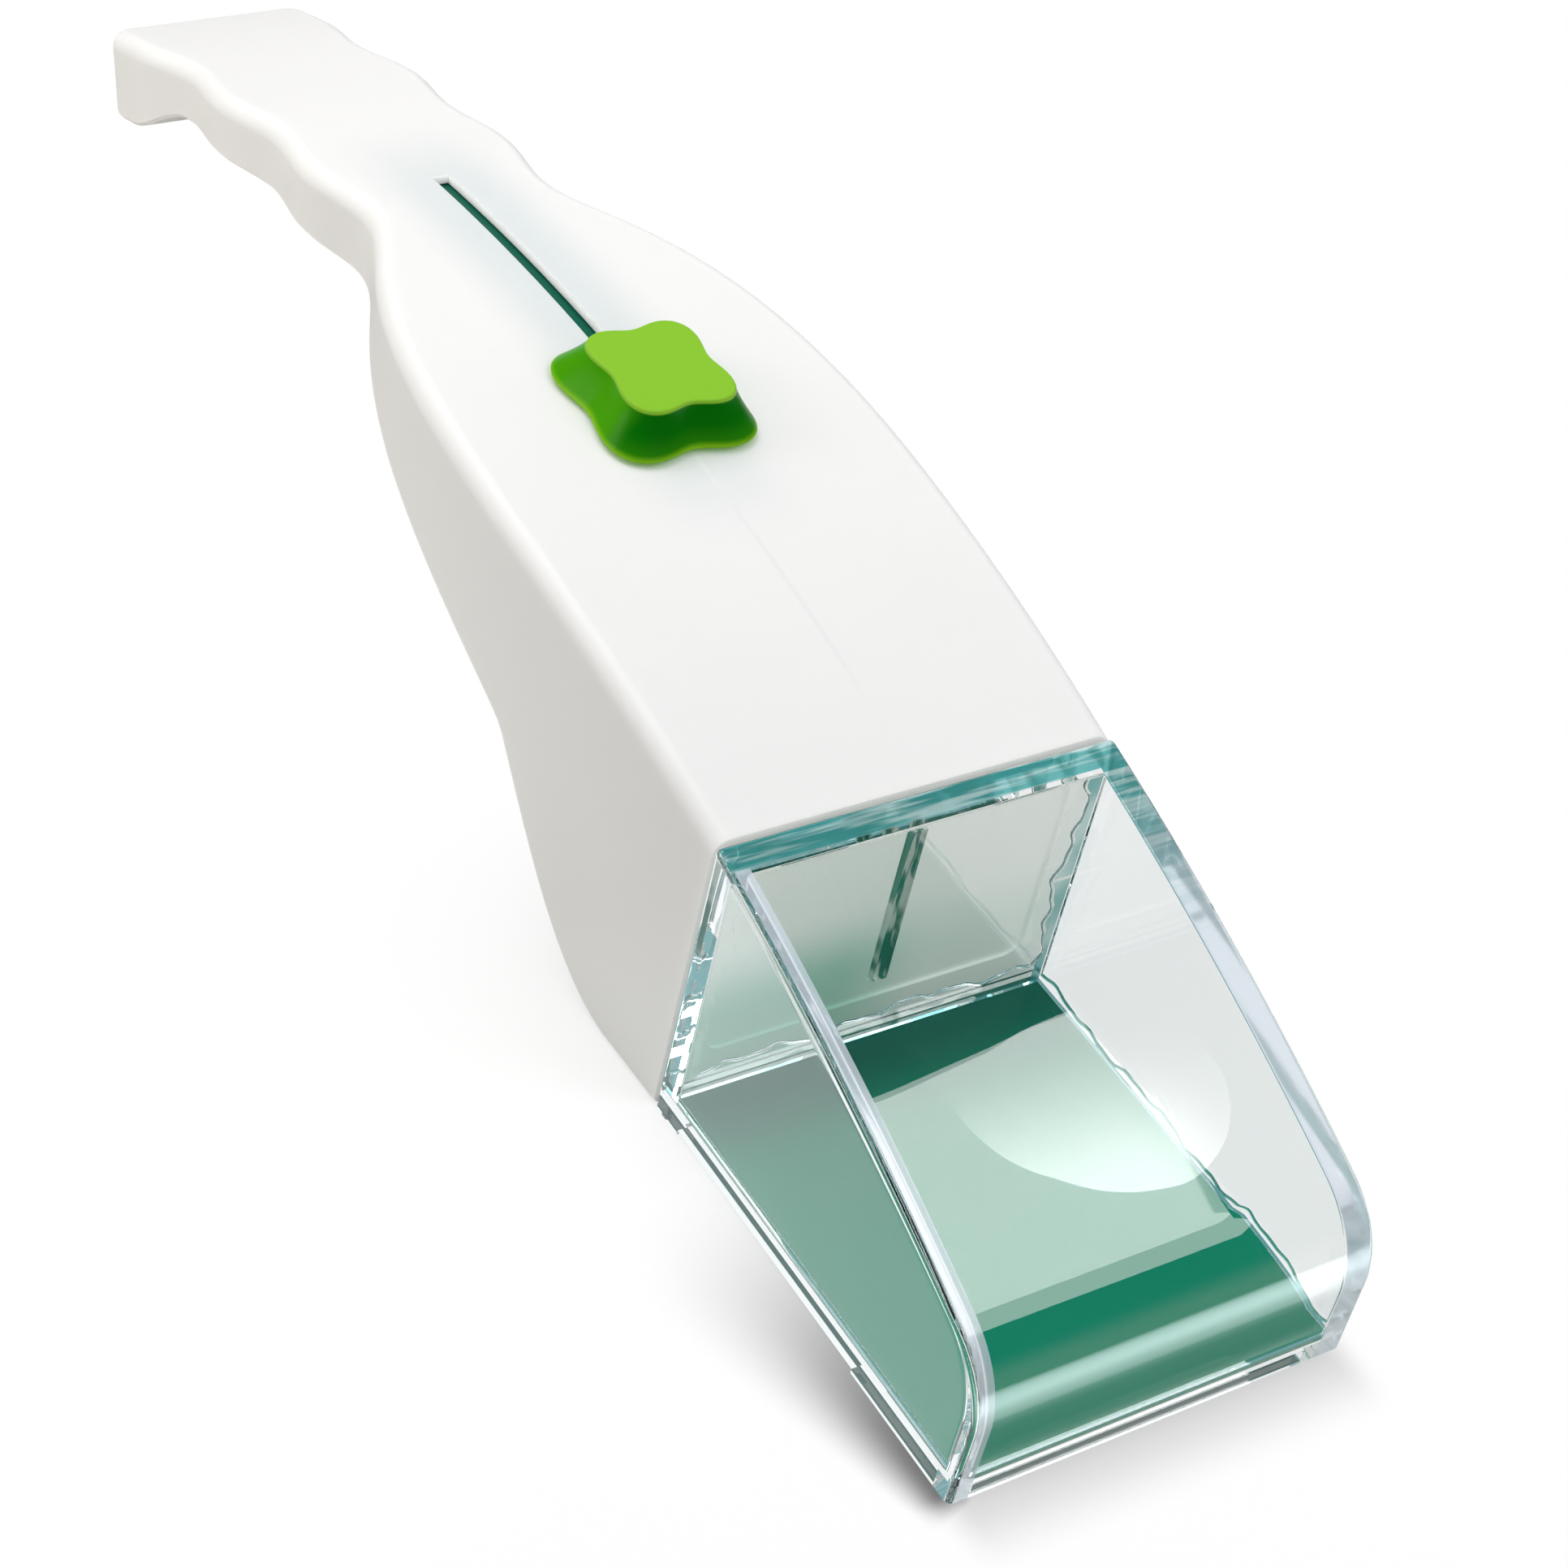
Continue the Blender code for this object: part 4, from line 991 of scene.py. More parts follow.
def bezier_value(points, y):
    """Second coordinate of a cubic curve where its first one, which only grows, is y."""
    low, high = 0.0, 1.0
    for _ in range(40):
        middle = (low + high) / 2
        if bezier(points, middle)[0] < y:
            low = middle
        else:
            high = middle
    return bezier(points, (low + high) / 2)[1]


def half_width(y):
    if y <= SHOULDER_Y:
        return mix(HALF_HOOD, SHOULDER_HALF_WIDTH, math.sin(max(y, 0.0) / SHOULDER_Y * math.pi / 2))
    if y <= NECK_Y:
        return bezier_value(SHOULDER_CURVE, y)
    waves = min((y - NECK_Y) / GRIP_WAVE_PITCH, GRIP_WAVES - 0.5)
    return NECK_HALF_WIDTH + GRIP_WAVE_HEIGHT * (1.0 - math.cos(2 * math.pi * waves)) / 2


def underside_height(y):
    if y <= HEEL_LENGTH:
        return 0.0
    return bezier_value(HEEL_CURVE if y <= KNEE.x else GRIP_CURVE, y)


def smooth_step(share):
    share = min(max(share, 0.0), 1.0)
    return share * share * (3.0 - 2.0 * share)


def underside_depth(y):
    """How far the underside lies below the top, along the section at y."""
    if y <= GRIP_ROOT_Y:
        return arc_height(y) - underside_height(y)
    slim = mix(GRIP_ROOT_DEPTH, GRIP_END_DEPTH, (y - GRIP_ROOT_Y) / (LIP_START_Y - GRIP_ROOT_Y))
    return max(slim, GRIP_END_DEPTH) + LIP_DROP * smooth_step((y - LIP_START_Y) / LIP_LENGTH)


def end_rounding(y, radius=END_RADIUS):
    past = max(y - (BODY_LENGTH - radius), 0.0)
    return radius - math.sqrt(max(radius**2 - past**2, 0.0))


def side(y):
    return half_width(y) - end_rounding(y, END_SIDE_RADIUS)


def rim_depth(y):
    return underside_depth(y) - end_rounding(y, END_RIM_RADIUS)


def lean_at(y):
    """How far a section leans back: not at all up to the crest, radially after it."""
    return max(arc_angle(y), 0.0)


def section_frame(y):
    """Frame on the top arc whose local -Z goes down the section."""
    return Matrix.Translation((0.0, y, arc_height(y))) @ Matrix.Rotation(-lean_at(y), 4, "X")


def section_ring(y, outline):
    at = section_frame(y)
    return [at @ Vector((x, 0.0, -depth)) for x, depth in outline]


print("body is", round(2000 * half_width(SHOULDER_Y), 1), "mm wide at the shoulder")

# %% Sections of the body
BODY_EDGE_RADIUS = 0.0028
RIM_CHAMFER = 0.0006
STATIONS = 150
END_STEPS = 12
EDGE_STEPS = 10
CROWN_STEPS = 4


def trough_outline(half, top, rim, radius, chamfer):
    """Upside-down U from the left rim over the top to the right rim, as (x, depth)."""
    left = [(-half + chamfer, rim)] if chamfer > 0.0 else []
    left.append((-half, rim - chamfer))
    for angle in quarter_turn(EDGE_STEPS):
        left.append((-half + radius * (1 - math.cos(angle)), top + radius * (1 - math.sin(angle))))
    edge, roof = left[-1]
    left += [(x, roof) for x in spread(edge, 0.0, CROWN_STEPS)[1:-1]]
    return left + [(0.0, roof)] + [(-x, depth) for x, depth in reversed(left)]


def body_stations():
    straight = BODY_LENGTH - END_RIM_RADIUS
    along = [straight * i / (STATIONS - 1) for i in range(STATIONS)]
    return along + [straight + END_RIM_RADIUS * math.sin(angle) for angle in quarter_turn(END_STEPS)[1:]]


print("body has", len(body_stations()), "sections")

# %% Body shell


def shell_rows(shape):
    """Rows of points of the outer skin and of the inner skin, one of each per station."""
    inner_scale = (BODY_LENGTH - BODY_WALL) / BODY_LENGTH
    outer_rows, inner_rows = [], []
    for station in body_stations():
        y = station + GAP * (1 - station / BODY_LENGTH)
        outer = trough_outline(side(y), end_rounding(y), rim_depth(y), BODY_EDGE_RADIUS, RIM_CHAMFER)
        outer_rows.append([shape.verts.new(p) for p in section_ring(y, outer)])
        y = GAP + (y - GAP) * inner_scale
        roof = BODY_WALL + end_rounding(y)
        inner = trough_outline(side(y) - BODY_WALL, roof, rim_depth(y), BODY_EDGE_RADIUS - BODY_WALL, 0.0)
        inner_rows.append([shape.verts.new(p) for p in section_ring(y, inner)])
    return outer_rows, inner_rows


def build_shell():
    shape = bmesh.new()
    outer_rows, inner_rows = shell_rows(shape)
    for rows in (outer_rows, inner_rows):
        for first, second in zip(rows, rows[1:]):
            for i in range(len(first) - 1):
                shape.faces.new((first[i], first[i + 1], second[i + 1], second[i]))
        shape.faces.new(rows[-1])
    for rim in (0, -1):
        for i in range(len(outer_rows) - 1):
            outer_pair = (outer_rows[i][rim], outer_rows[i + 1][rim])
            shape.faces.new(outer_pair + (inner_rows[i + 1][rim], inner_rows[i][rim]))
    shape.faces.new((outer_rows[-1][0], outer_rows[-1][-1], inner_rows[-1][-1], inner_rows[-1][0]))
    front_edges = []
    for front in (outer_rows[0], inner_rows[0]):
        front_edges += [shape.edges.get(pair) for pair in zip(front, front[1:])]
    bmesh.ops.bridge_loops(shape, edges=front_edges)
    return new_object("body_moulding", shape, white_top)


body = build_shell()
print(body.name, len(body.data.polygons), "faces")

# %% Slot in the body
SLOT_LEAD_IN = 0.00015
SLOT_DEPTH = 0.004
SLOT_ABOVE = 0.001
SLOT_STEPS = 24
UPRIGHT_FACING = 0.5


def slot_cutter():
    """Slot along the top arc, a little wider at the surface."""
    half = SLOT_WIDTH / 2
    wide = half + SLOT_LEAD_IN
    right = [(half, SLOT_DEPTH), (half, SLOT_LEAD_IN), (wide, 0.0), (wide, -SLOT_ABOVE)]
    outline = [(-half, SLOT_DEPTH)] + right + [(-x, depth) for x, depth in reversed(right[1:])]
    rings = []
    for y in spread(SLIDER_Y - STEM_LENGTH / 2 - GAP, SLOT_REAR_Y, SLOT_STEPS):
        angle = arc_angle(y)
        rings.append([Vector((x, *arc_point(ARC_RADIUS - depth, angle))) for x, depth in outline])
    return loft(rings)


def paint_glow_on_slot_walls(shell):
    """Gives the walls of the slot a painted glow, for light that comes through the plastic."""
    shell.data.materials.append(white_slot)
    for face in shell.data.polygons:
        beside = abs(face.center.x) < SLOT_WIDTH / 2 + GRAZE
        along = SLIDER_Y - STEM_LENGTH < face.center.y - JOINT_Y < SLOT_REAR_Y + OVERLAP
        if beside and along and abs(face.normal.z) < UPRIGHT_FACING:
            face.material_index = 1


cut(body, slot_cutter())
paint_glow_on_slot_walls(body)
smooth(body, 40.0)
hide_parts("body_shell")
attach(body, "catcher")
print(body.name, len(body.data.polygons), "faces")

# %% [markdown]
# ## The cover underneath
#
# The cover fills the shell's underside between its walls and carries a sunk seat for each screw.
# It uses the same outline, so it stays a hair's breadth inside the shell all the way round.

# %% Places of the screws
COVER_SCREW_Y = 0.1140
COVER_SCREW_INSET = 0.0020
REAR_SCREW_Y = BODY_LENGTH - 0.0103
WELL_RADIUS = 0.0044
WELL_HEIGHT = 0.0050
WELL_FLOOR = 0.0018
SCREW_HEAD_RADIUS = 0.0028
SCREW_HEAD_HEIGHT = 0.0018
SCREW_SHANK_RADIUS = 0.0012
SCREW_SHANK_LENGTH = 0.0055


def cover_half_width(y):
    return side(y) - BODY_WALL - GAP


def screw_places():
    """Position across, position along and underside depth of each screw."""
    beside = cover_half_width(COVER_SCREW_Y) - WELL_RADIUS - COVER_SCREW_INSET
    for x, y in ((-beside, COVER_SCREW_Y), (beside, COVER_SCREW_Y), (0.0, REAR_SCREW_Y)):
        yield x, y, rim_depth(y)


def screw_seat(depth):
    return -(depth - WELL_HEIGHT + WELL_FLOOR)


print("screws at", [(round(x, 4), round(y, 4)) for x, y, depth in screw_places()])

# %% Cover
COVER_THICKNESS = 0.0020
COVER_CHAMFER = 0.0003


def turns(steps):
    """Angles of a full turn."""
    return [2 * math.pi * i / steps for i in range(steps)]


def circle(radius, z, steps):
    return [Vector((radius * math.cos(a), radius * math.sin(a), z)) for a in turns(steps)]


def rod(radius, bottom, top, steps=40):
    return loft([circle(radius, z, steps) for z in (bottom, top)])


def cover_outline(y):
    half, depth = cover_half_width(y), rim_depth(y)
    inside = depth - COVER_THICKNESS
    outline = [(-half, depth - COVER_CHAMFER), (-half, inside), (half, inside), (half, depth - COVER_CHAMFER)]
    return outline + [(half - COVER_CHAMFER, depth), (-half + COVER_CHAMFER, depth)]


def build_cover():
    last = BODY_LENGTH - BODY_WALL - GAP
    marks = [mix(GAP, last, station / BODY_LENGTH) for station in body_stations()]
    rings = [section_ring(y, cover_outline(y)) for y in marks]
    cover = new_object("cover_moulding", loft(rings), white_plain)
    for x, y, depth in screw_places():
        at = section_frame(y) @ Matrix.Translation((x, 0.0, 0.0))
        top = -(depth - WELL_HEIGHT)
        well = rod(WELL_RADIUS, -(depth - COVER_THICKNESS / 2), top)
        hollow = rod(SCREW_HEAD_RADIUS + RUNNING_GAP, -(depth + WELL_HEIGHT), screw_seat(depth))
        hole = rod(SCREW_SHANK_RADIUS + GAP, screw_seat(depth) - OVERLAP, top + OVERLAP)
        for shape, operation in ((well, "UNION"), (hollow, "DIFFERENCE"), (hole, "DIFFERENCE")):
            cut(cover, moved(shape, at), operation)
    smooth(cover, 35.0)
    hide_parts("bottom_cover")
    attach(cover, "catcher")
    return cover


cover = build_cover()
print(cover.name, len(cover.data.polygons), "faces")

# %% [markdown]
# ## The screws, by Geometry Nodes
#
# One pan-head screw with a cross recess is modelled at the origin. A Geometry Nodes tree then puts
# a copy on each of three points, turned by the lean that the point carries as an attribute. The
# tree ends in real geometry with its material, ready to be kept as a plain mesh.

# %% Geometry Nodes helpers


def new_geometry_tree(name, inputs=()):
    """Tree that takes geometry, a finish and the given inputs, and hands geometry out."""
    tree = bpy.data.node_groups.new(name, "GeometryNodeTree")
    tree.interface.new_socket("Geometry", in_out="INPUT", socket_type="NodeSocketGeometry")
    sockets = {}
    for label, kind in (*inputs, ("Finish", "NodeSocketMaterial")):
        sockets[label] = tree.interface.new_socket(label, in_out="INPUT", socket_type=kind).identifier
    tree.interface.new_socket("Geometry", in_out="OUTPUT", socket_type="NodeSocketGeometry")
    return tree, tree.nodes.new("NodeGroupInput").outputs, sockets


def end_tree(tree, given, geometry):
    """Makes copies real, gives them their finish and hands them out."""
    real = add_node(tree, "GeometryNodeRealizeInstances", {"Geometry": geometry}).outputs[0]
    inputs = {"Geometry": real, "Material": given["Finish"]}
    finish = add_node(tree, "GeometryNodeSetMaterial", inputs).outputs[0]
    fill(tree, tree.nodes.new("NodeGroupOutput"), {"Geometry": finish})


def carried_number(tree, name):
    inputs = {"Name": name}
    return add_node(tree, "GeometryNodeInputNamedAttribute", inputs, data_type="FLOAT").outputs["Attribute"]


def points_object(name, points, edges=(), faces=()):
    """Object from points that are in their place already."""
    mesh = bpy.data.meshes.new(name)
    mesh.from_pydata(points, edges, faces)
    return link_object(name, mesh)


def carry_numbers(piece, name, values):
    piece.data.attributes.new(name, "FLOAT", "POINT").data.foreach_set("value", values)


def use_tree(piece, tree, sockets, **values):
    modifier = piece.modifiers.new(tree.name, "NODES")
    modifier.node_group = tree
    for label, value in values.items():
        modifier[sockets[label]] = value


# %% One screw
SCREW_CROSS_WIDTH = 0.0008
SCREW_CROSS_DEPTH = 0.0009
SCREW_CROSS_REACH = 0.6
SCREW_DOME_ANGLES = (0.35, 0.7, 1.05, 1.35)
SCREW_DOME_FOOT = 0.55
SCREW_RIM = 0.5
SCREW_POINT = 0.4
SCREW_STEPS = 48


def build_screw_pattern():
    """One screw, head down, with the face under its head at the origin."""
    head, tip = -SCREW_HEAD_HEIGHT, SCREW_SHANK_LENGTH
    profile = []
    for angle in SCREW_DOME_ANGLES:
        dome = mix(SCREW_DOME_FOOT, 1.0, math.cos(angle))
        profile.append((SCREW_HEAD_RADIUS * math.sin(angle), head * dome))
    profile += [(SCREW_HEAD_RADIUS, head * SCREW_RIM), (SCREW_HEAD_RADIUS, 0.0), (SCREW_SHANK_RADIUS, 0.0)]
    profile += [(SCREW_SHANK_RADIUS, tip - SCREW_SHANK_RADIUS), (SCREW_SHANK_RADIUS * SCREW_POINT, tip)]
    shape = loft([circle(radius, z, SCREW_STEPS) for radius, z in profile])
    screw = new_object("screw_pattern", moved(shape, PLACE.inverted()), steel)
    for reach_x, reach_y in ((SCREW_CROSS_REACH, 0.0), (0.0, SCREW_CROSS_REACH)):
        x = SCREW_HEAD_RADIUS * reach_x + SCREW_CROSS_WIDTH / 2
        y = SCREW_HEAD_RADIUS * reach_y + SCREW_CROSS_WIDTH / 2
        slit = box((-x, -y, head - OVERLAP), (x, y, head + SCREW_CROSS_DEPTH))
        cut(screw, moved(slit, PLACE.inverted()))
    smooth(screw, 35.0)
    return screw


# %% Screws


def build_screw_tree():
    tree, given, sockets = new_geometry_tree("screws_on_points", (("Screw", "NodeSocketObject"),))
    screw = add_node(tree, "GeometryNodeObjectInfo", {"Object": given["Screw"]})
    euler = add_node(tree, "ShaderNodeCombineXYZ", {"X": carried_number(tree, "lean")})
    inputs = {
        "Points": given["Geometry"],
        "Instance": screw.outputs["Geometry"],
        "Rotation": add_node(tree, "FunctionNodeEulerToRotation", {0: euler.outputs[0]}).outputs[0],
    }
    end_tree(tree, given, add_node(tree, "GeometryNodeInstanceOnPoints", inputs).outputs[0])
    return tree, sockets


def build_screws():
    points, leans = [], []
    for x, y, depth in screw_places():
        at = PLACE @ section_frame(y) @ Matrix.Translation((x, 0.0, screw_seat(depth) - GAP))
        points.append(at.to_translation())
        leans.append(-lean_at(y))
    screws = points_object("cover_screws", points)
    carry_numbers(screws, "lean", leans)
    pattern = build_screw_pattern()
    use_tree(screws, *build_screw_tree(), Screw=pattern, Finish=steel)
    settle(screws)
    bpy.data.objects.remove(pattern, do_unlink=True)
    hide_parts("cover_screw_left", "cover_screw_right", "cover_screw_rear")
    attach(screws, "catcher")
    return screws


screws = build_screws()
print(screws.name, len(screws.data.polygons), "faces")

# %% [markdown]
# ## The film, by Geometry Nodes
#
# The film lies flat across the mouth, turns up behind the back plate and runs on under the top of
# the body, where the slider holds it. A Geometry Nodes tree sweeps a strip along each stretch of
# that path, as wide as the path's points say. The stretch in the mouth is a piece of its own with
# its own mesh, because the real film slides away round the bend as the slider opens it. A short link
# lies under the slot up to the slider's foot, so that the slot shows film.

# %% Path of the film
FILM_BEND_Y = 0.0060
FILM_LOWER_RADIUS = 0.0220
FILM_UPPER_RADIUS = 0.0260
FILM_CLIMB = math.radians(62.0)
CLIMB_WAY = Vector((math.cos(FILM_CLIMB), math.sin(FILM_CLIMB)))
TONGUE_HALF_WIDTH = 0.0080
TONGUE_PAST_SLOT = 0.0100
WEB_TAPER_START = 0.0060
WEB_TAPER_LENGTH = 0.0140
FILM_FRONT_Y = HOOD_WALL - HOOD_GROOVE_DEPTH + GRAZE - HOOD_LENGTH
FLAT_END_Y = 0.0030
LEAF_PAST_FLAT = 0.0004
DOOR_TRAVEL = 0.0594
LEAF_END_Y = FLAT_END_Y + LEAF_PAST_FLAT - DOOR_TRAVEL


def film_climb():
    """Where the lower bend ends, how long the climb is, and where the film meets the top arc."""
    right = Vector((math.sin(FILM_CLIMB), -math.cos(FILM_CLIMB)))
    lower_end = Vector((FILM_BEND_Y, FILM_HEIGHT + FILM_LOWER_RADIUS)) + right * FILM_LOWER_RADIUS
    start = lower_end + right * FILM_UPPER_RADIUS - PIVOT.yz
    reach = FILM_TOP_RADIUS - FILM_UPPER_RADIUS
    ahead = start.dot(CLIMB_WAY)
    climb = -ahead + math.sqrt(ahead**2 - start.length_squared + reach**2)
    centre = start + CLIMB_WAY * climb
    return lower_end, climb, math.atan2(centre.x, centre.y)


LOWER_END, CLIMB_LENGTH, MEETING_ANGLE = film_climb()
LOWER_LENGTH = FILM_LOWER_RADIUS * FILM_CLIMB
UPPER_LENGTH = FILM_UPPER_RADIUS * (FILM_CLIMB + MEETING_ANGLE)
WEB_END = FILM_BEND_Y + LOWER_LENGTH + CLIMB_LENGTH + UPPER_LENGTH


def film_point(distance):
    """Point (y, z) of the film by distance along it behind the joint of box and body."""
    if distance <= FILM_BEND_Y:
        return Vector((distance, FILM_HEIGHT))
    distance -= FILM_BEND_Y
    if distance <= LOWER_LENGTH:
        angle = distance / FILM_LOWER_RADIUS
        bend = Vector((math.sin(angle), 1 - math.cos(angle))) * FILM_LOWER_RADIUS
        return Vector((FILM_BEND_Y, FILM_HEIGHT)) + bend
    distance -= LOWER_LENGTH
    if distance <= CLIMB_LENGTH:
        return LOWER_END + CLIMB_WAY * distance
    angle = FILM_CLIMB - (distance - CLIMB_LENGTH) / FILM_UPPER_RADIUS
    bend = Vector((math.sin(FILM_CLIMB) - math.sin(angle), math.cos(angle) - math.cos(FILM_CLIMB)))
    return LOWER_END + CLIMB_WAY * CLIMB_LENGTH + bend * FILM_UPPER_RADIUS


def web_half_width(distance):
    share = smooth_step((distance - WEB_TAPER_START) / WEB_TAPER_LENGTH)
    return mix(FILM_HALF_WIDTH, TONGUE_HALF_WIDTH, share)


print("film climbs", round(CLIMB_LENGTH * 1000, 1), "mm between its bends")

# %% Strip along a path
STRIP_COUNT = 13


def build_film_tree():
    tree, given, sockets = new_geometry_tree("strip_along_path")
    path = add_node(tree, "GeometryNodeMeshToCurve", {"Mesh": given["Geometry"]})
    inputs = {"Curve": path.outputs[0], "Normal": (1.0, 0.0, 0.0)}
    flat = add_node(tree, "GeometryNodeSetCurveNormal", inputs, mode="FREE")
    inputs = {"Start": (-1.0, 0.0, 0.0), "End": (1.0, 0.0, 0.0)}
    section = add_node(tree, "GeometryNodeCurvePrimitiveLine", inputs)
    inputs = {"Curve": section.outputs[0], "Count": STRIP_COUNT}
    divided = add_node(tree, "GeometryNodeResampleCurve", inputs)
    inputs = {
        "Curve": flat.outputs[0],
        "Profile Curve": divided.outputs[0],
        "Scale": carried_number(tree, "half_width"),
    }
    end_tree(tree, given, add_node(tree, "GeometryNodeCurveToMesh", inputs).outputs[0])
    return tree, sockets


film_tree, film_sockets = build_film_tree()
print("tree:", film_tree.name)


def film_strip(name, points, widths, thickness=FILM_THICKNESS):
    """Strip of film through (y, z) points of the body's frame."""
    places = [PLACE @ Vector((0.0, *point)) for point in points]
    piece = points_object(name, places, edges=[(i, i + 1) for i in range(len(places) - 1)])
    carry_numbers(piece, "half_width", widths)
    use_tree(piece, film_tree, film_sockets, Finish=film_green)
    solid = piece.modifiers.new("thickness", "SOLIDIFY")
    solid.thickness = thickness
    solid.offset = 0.0
    settle(piece)
    smooth(piece, 35.0)
    print(name, len(piece.data.polygons), "faces")
    return piece


# %% Film in the mouth
LEAF_CORNER = 0.0020
LEAF_STEPS = 8
FLAT_STEPS = 12
FLAT_WIDTH_SHARE = 0.997
FLAT_THICKNESS_SHARE = 0.96


def leaf_width(y):
    """Full width, with round front corners."""
    left = max(LEAF_CORNER - (y - FILM_FRONT_Y), 0.0)
    return FILM_HALF_WIDTH - LEAF_CORNER + math.sqrt(LEAF_CORNER**2 - left**2)


leaf_marks = [FILM_FRONT_Y + LEAF_CORNER * (1 - math.cos(angle)) for angle in quarter_turn(LEAF_STEPS)]
leaf_marks += spread(leaf_marks[-1], LEAF_END_Y, LEAF_STEPS)[1:]
leaf_points = [(y, FILM_HEIGHT) for y in leaf_marks]
film_leaf = film_strip("film_front", leaf_points, [leaf_width(y) for y in leaf_marks])
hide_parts("film_leaf")
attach(film_leaf, "door")

flat_points = [(y, FILM_HEIGHT) for y in spread(LEAF_END_Y, FLAT_END_Y, FLAT_STEPS)]
flat_widths = [FILM_HALF_WIDTH * FLAT_WIDTH_SHARE for _ in flat_points]
film_flat = film_strip("film_flat", flat_points, flat_widths, FILM_THICKNESS * FLAT_THICKNESS_SHARE)
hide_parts("film_web")
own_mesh(film_flat)
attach(film_flat, "catcher")

# %% Film in the body
RISE_STEPS = 60
TONGUE_STEPS = 40
TONGUE_THICKNESS_SHARE = 1.9
LINK_FOOT_GAP = 0.0010
LINK_DROP = 0.0009
LINK_STEPS = 60

rise_marks = spread(FLAT_END_Y + 2 * LEAF_PAST_FLAT, WEB_END - GAP, RISE_STEPS)
rise_points = [film_point(distance) for distance in rise_marks]
film_rise = film_strip("film_rise", rise_points, [web_half_width(distance) for distance in rise_marks])
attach(film_rise, "catcher")


def film_under_top(name, radius, end_y, steps, thickness=FILM_THICKNESS):
    """Narrow film on an arc from where it meets the top to end_y, and its points."""
    angles = spread(MEETING_ANGLE, arc_angle(end_y), steps)
    points = [arc_point(radius, angle) for angle in angles]
    return film_strip(name, points, [TONGUE_HALF_WIDTH for _ in points], thickness), points


tongue_end_y = SLOT_REAR_Y + TONGUE_PAST_SLOT
tongue_thickness = FILM_THICKNESS * TONGUE_THICKNESS_SHARE
film_tongue, _ = film_under_top(
    "film_tongue_strip", FILM_TOP_RADIUS, tongue_end_y, TONGUE_STEPS, tongue_thickness
)
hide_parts("film_tongue")
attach(film_tongue, "slider")

link_end_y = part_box("slider_foot")[0][1] - JOINT_Y - LINK_FOOT_GAP
film_link, link_points = film_under_top("film_link", FILM_TOP_RADIUS - LINK_DROP, link_end_y, LINK_STEPS)
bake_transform(film_link)

# %% [markdown]
# ## The thumb slider
#
# The slider is a four-lobed button that flares to its base. Its outline is a circle whose radius
# swells four times round, and its height follows a curve that is steep at the top and spreads at
# the foot. It is built on the crest of the arc and turned about the arc's centre to its place.

# %% Slider
SLIDER_RADIUS = 0.0129
SLIDER_LOBE = 0.149
SLIDER_LENGTH_RATIO = 1.07
SLIDER_TOP_RATIO = 0.725
SLIDER_FLARE = 1.25
SLIDER_EDGE = 0.0004
STEM_BELOW_FILM = 0.0042
LOBE_STEPS = 144
FLARE_STEPS = 24
SLIDER_EDGE_STEPS = 5


def lobed_ring(scale, height):
    ring = []
    for angle in turns(LOBE_STEPS):
        radius = SLIDER_RADIUS * (1 - SLIDER_LOBE * math.cos(4 * angle)) * scale
        x, y = radius * math.cos(angle), radius * math.sin(angle) * SLIDER_LENGTH_RATIO
        ring.append(Vector((x, y, ARC_RADIUS + height)))
    return ring


def slider_rings():
    bottom = SLIDER_BASE
    shoulder = bottom + SLIDER_HEIGHT - SLIDER_EDGE
    rounding = SLIDER_EDGE / SLIDER_RADIUS
    rings = [lobed_ring(1.0 - rounding / 2, bottom), lobed_ring(1.0 - rounding / 8, bottom + SLIDER_EDGE / 2)]
    for share in spread(0.0, 1.0, FLARE_STEPS):
        flare = mix(SLIDER_TOP_RATIO, 1.0, (1 - share) ** SLIDER_FLARE)
        rings.append(lobed_ring(flare, mix(bottom + SLIDER_EDGE, shoulder, share)))
    for angle in quarter_turn(SLIDER_EDGE_STEPS)[1:]:
        drawn = SLIDER_TOP_RATIO - rounding * (1 - math.cos(angle))
        rings.append(lobed_ring(drawn, shoulder + SLIDER_EDGE * math.sin(angle)))
    return rings


def build_slider():
    at = Matrix.Translation(PIVOT) @ Matrix.Rotation(-arc_angle(SLIDER_Y), 4, "X")
    button = new_object("slider_button_moulding", moved(loft(slider_rings()), at), slider_green)
    stem_half = SLOT_WIDTH / 2 - RUNNING_GAP
    low = (-stem_half, -STEM_LENGTH / 2, FILM_TOP_RADIUS - STEM_BELOW_FILM)
    high = (stem_half, STEM_LENGTH / 2, ARC_RADIUS + SLIDER_BASE + OVERLAP)
    cut(button, moved(box(low, high), at), "UNION")
    smooth(button, 40.0)
    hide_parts("slider_button")
    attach(button, "slider")
    return button


slider = build_slider()
print(slider.name, len(slider.data.polygons), "faces")

# %% [markdown]
# ## CAD pieces that stay
#
# The back plate, the film guides and the slider's foot are plain flat mouldings, so their CAD
# shapes are kept and only their materials change.

# %% Kept pieces
for node, material in (
    ("back_plate", white_plate),
    ("film_guide_left", inner_white),
    ("film_guide_right", inner_white),
    ("slider_foot", slider_green),
):
    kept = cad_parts[node]
    kept.data.materials.clear()
    kept.data.materials.append(material)
    print("kept:", node)

# %% [markdown]
# ## Floor and world
#
# The photograph is a plain studio picture on white. The floor is white and keeps a little of the
# box's soft shadow, with a darker contact shade close to its left and front edges. Away from the
# box it is simply white to the camera, and so it is through the clear box, but for a dark line
# along the foot of the round front. A lit card on the floor before the box is only there for
# mirrored rays: it is the bright strip on the round front. The room above is dark to mirrored rays,
# so that only the lamps and cards show as reflections.

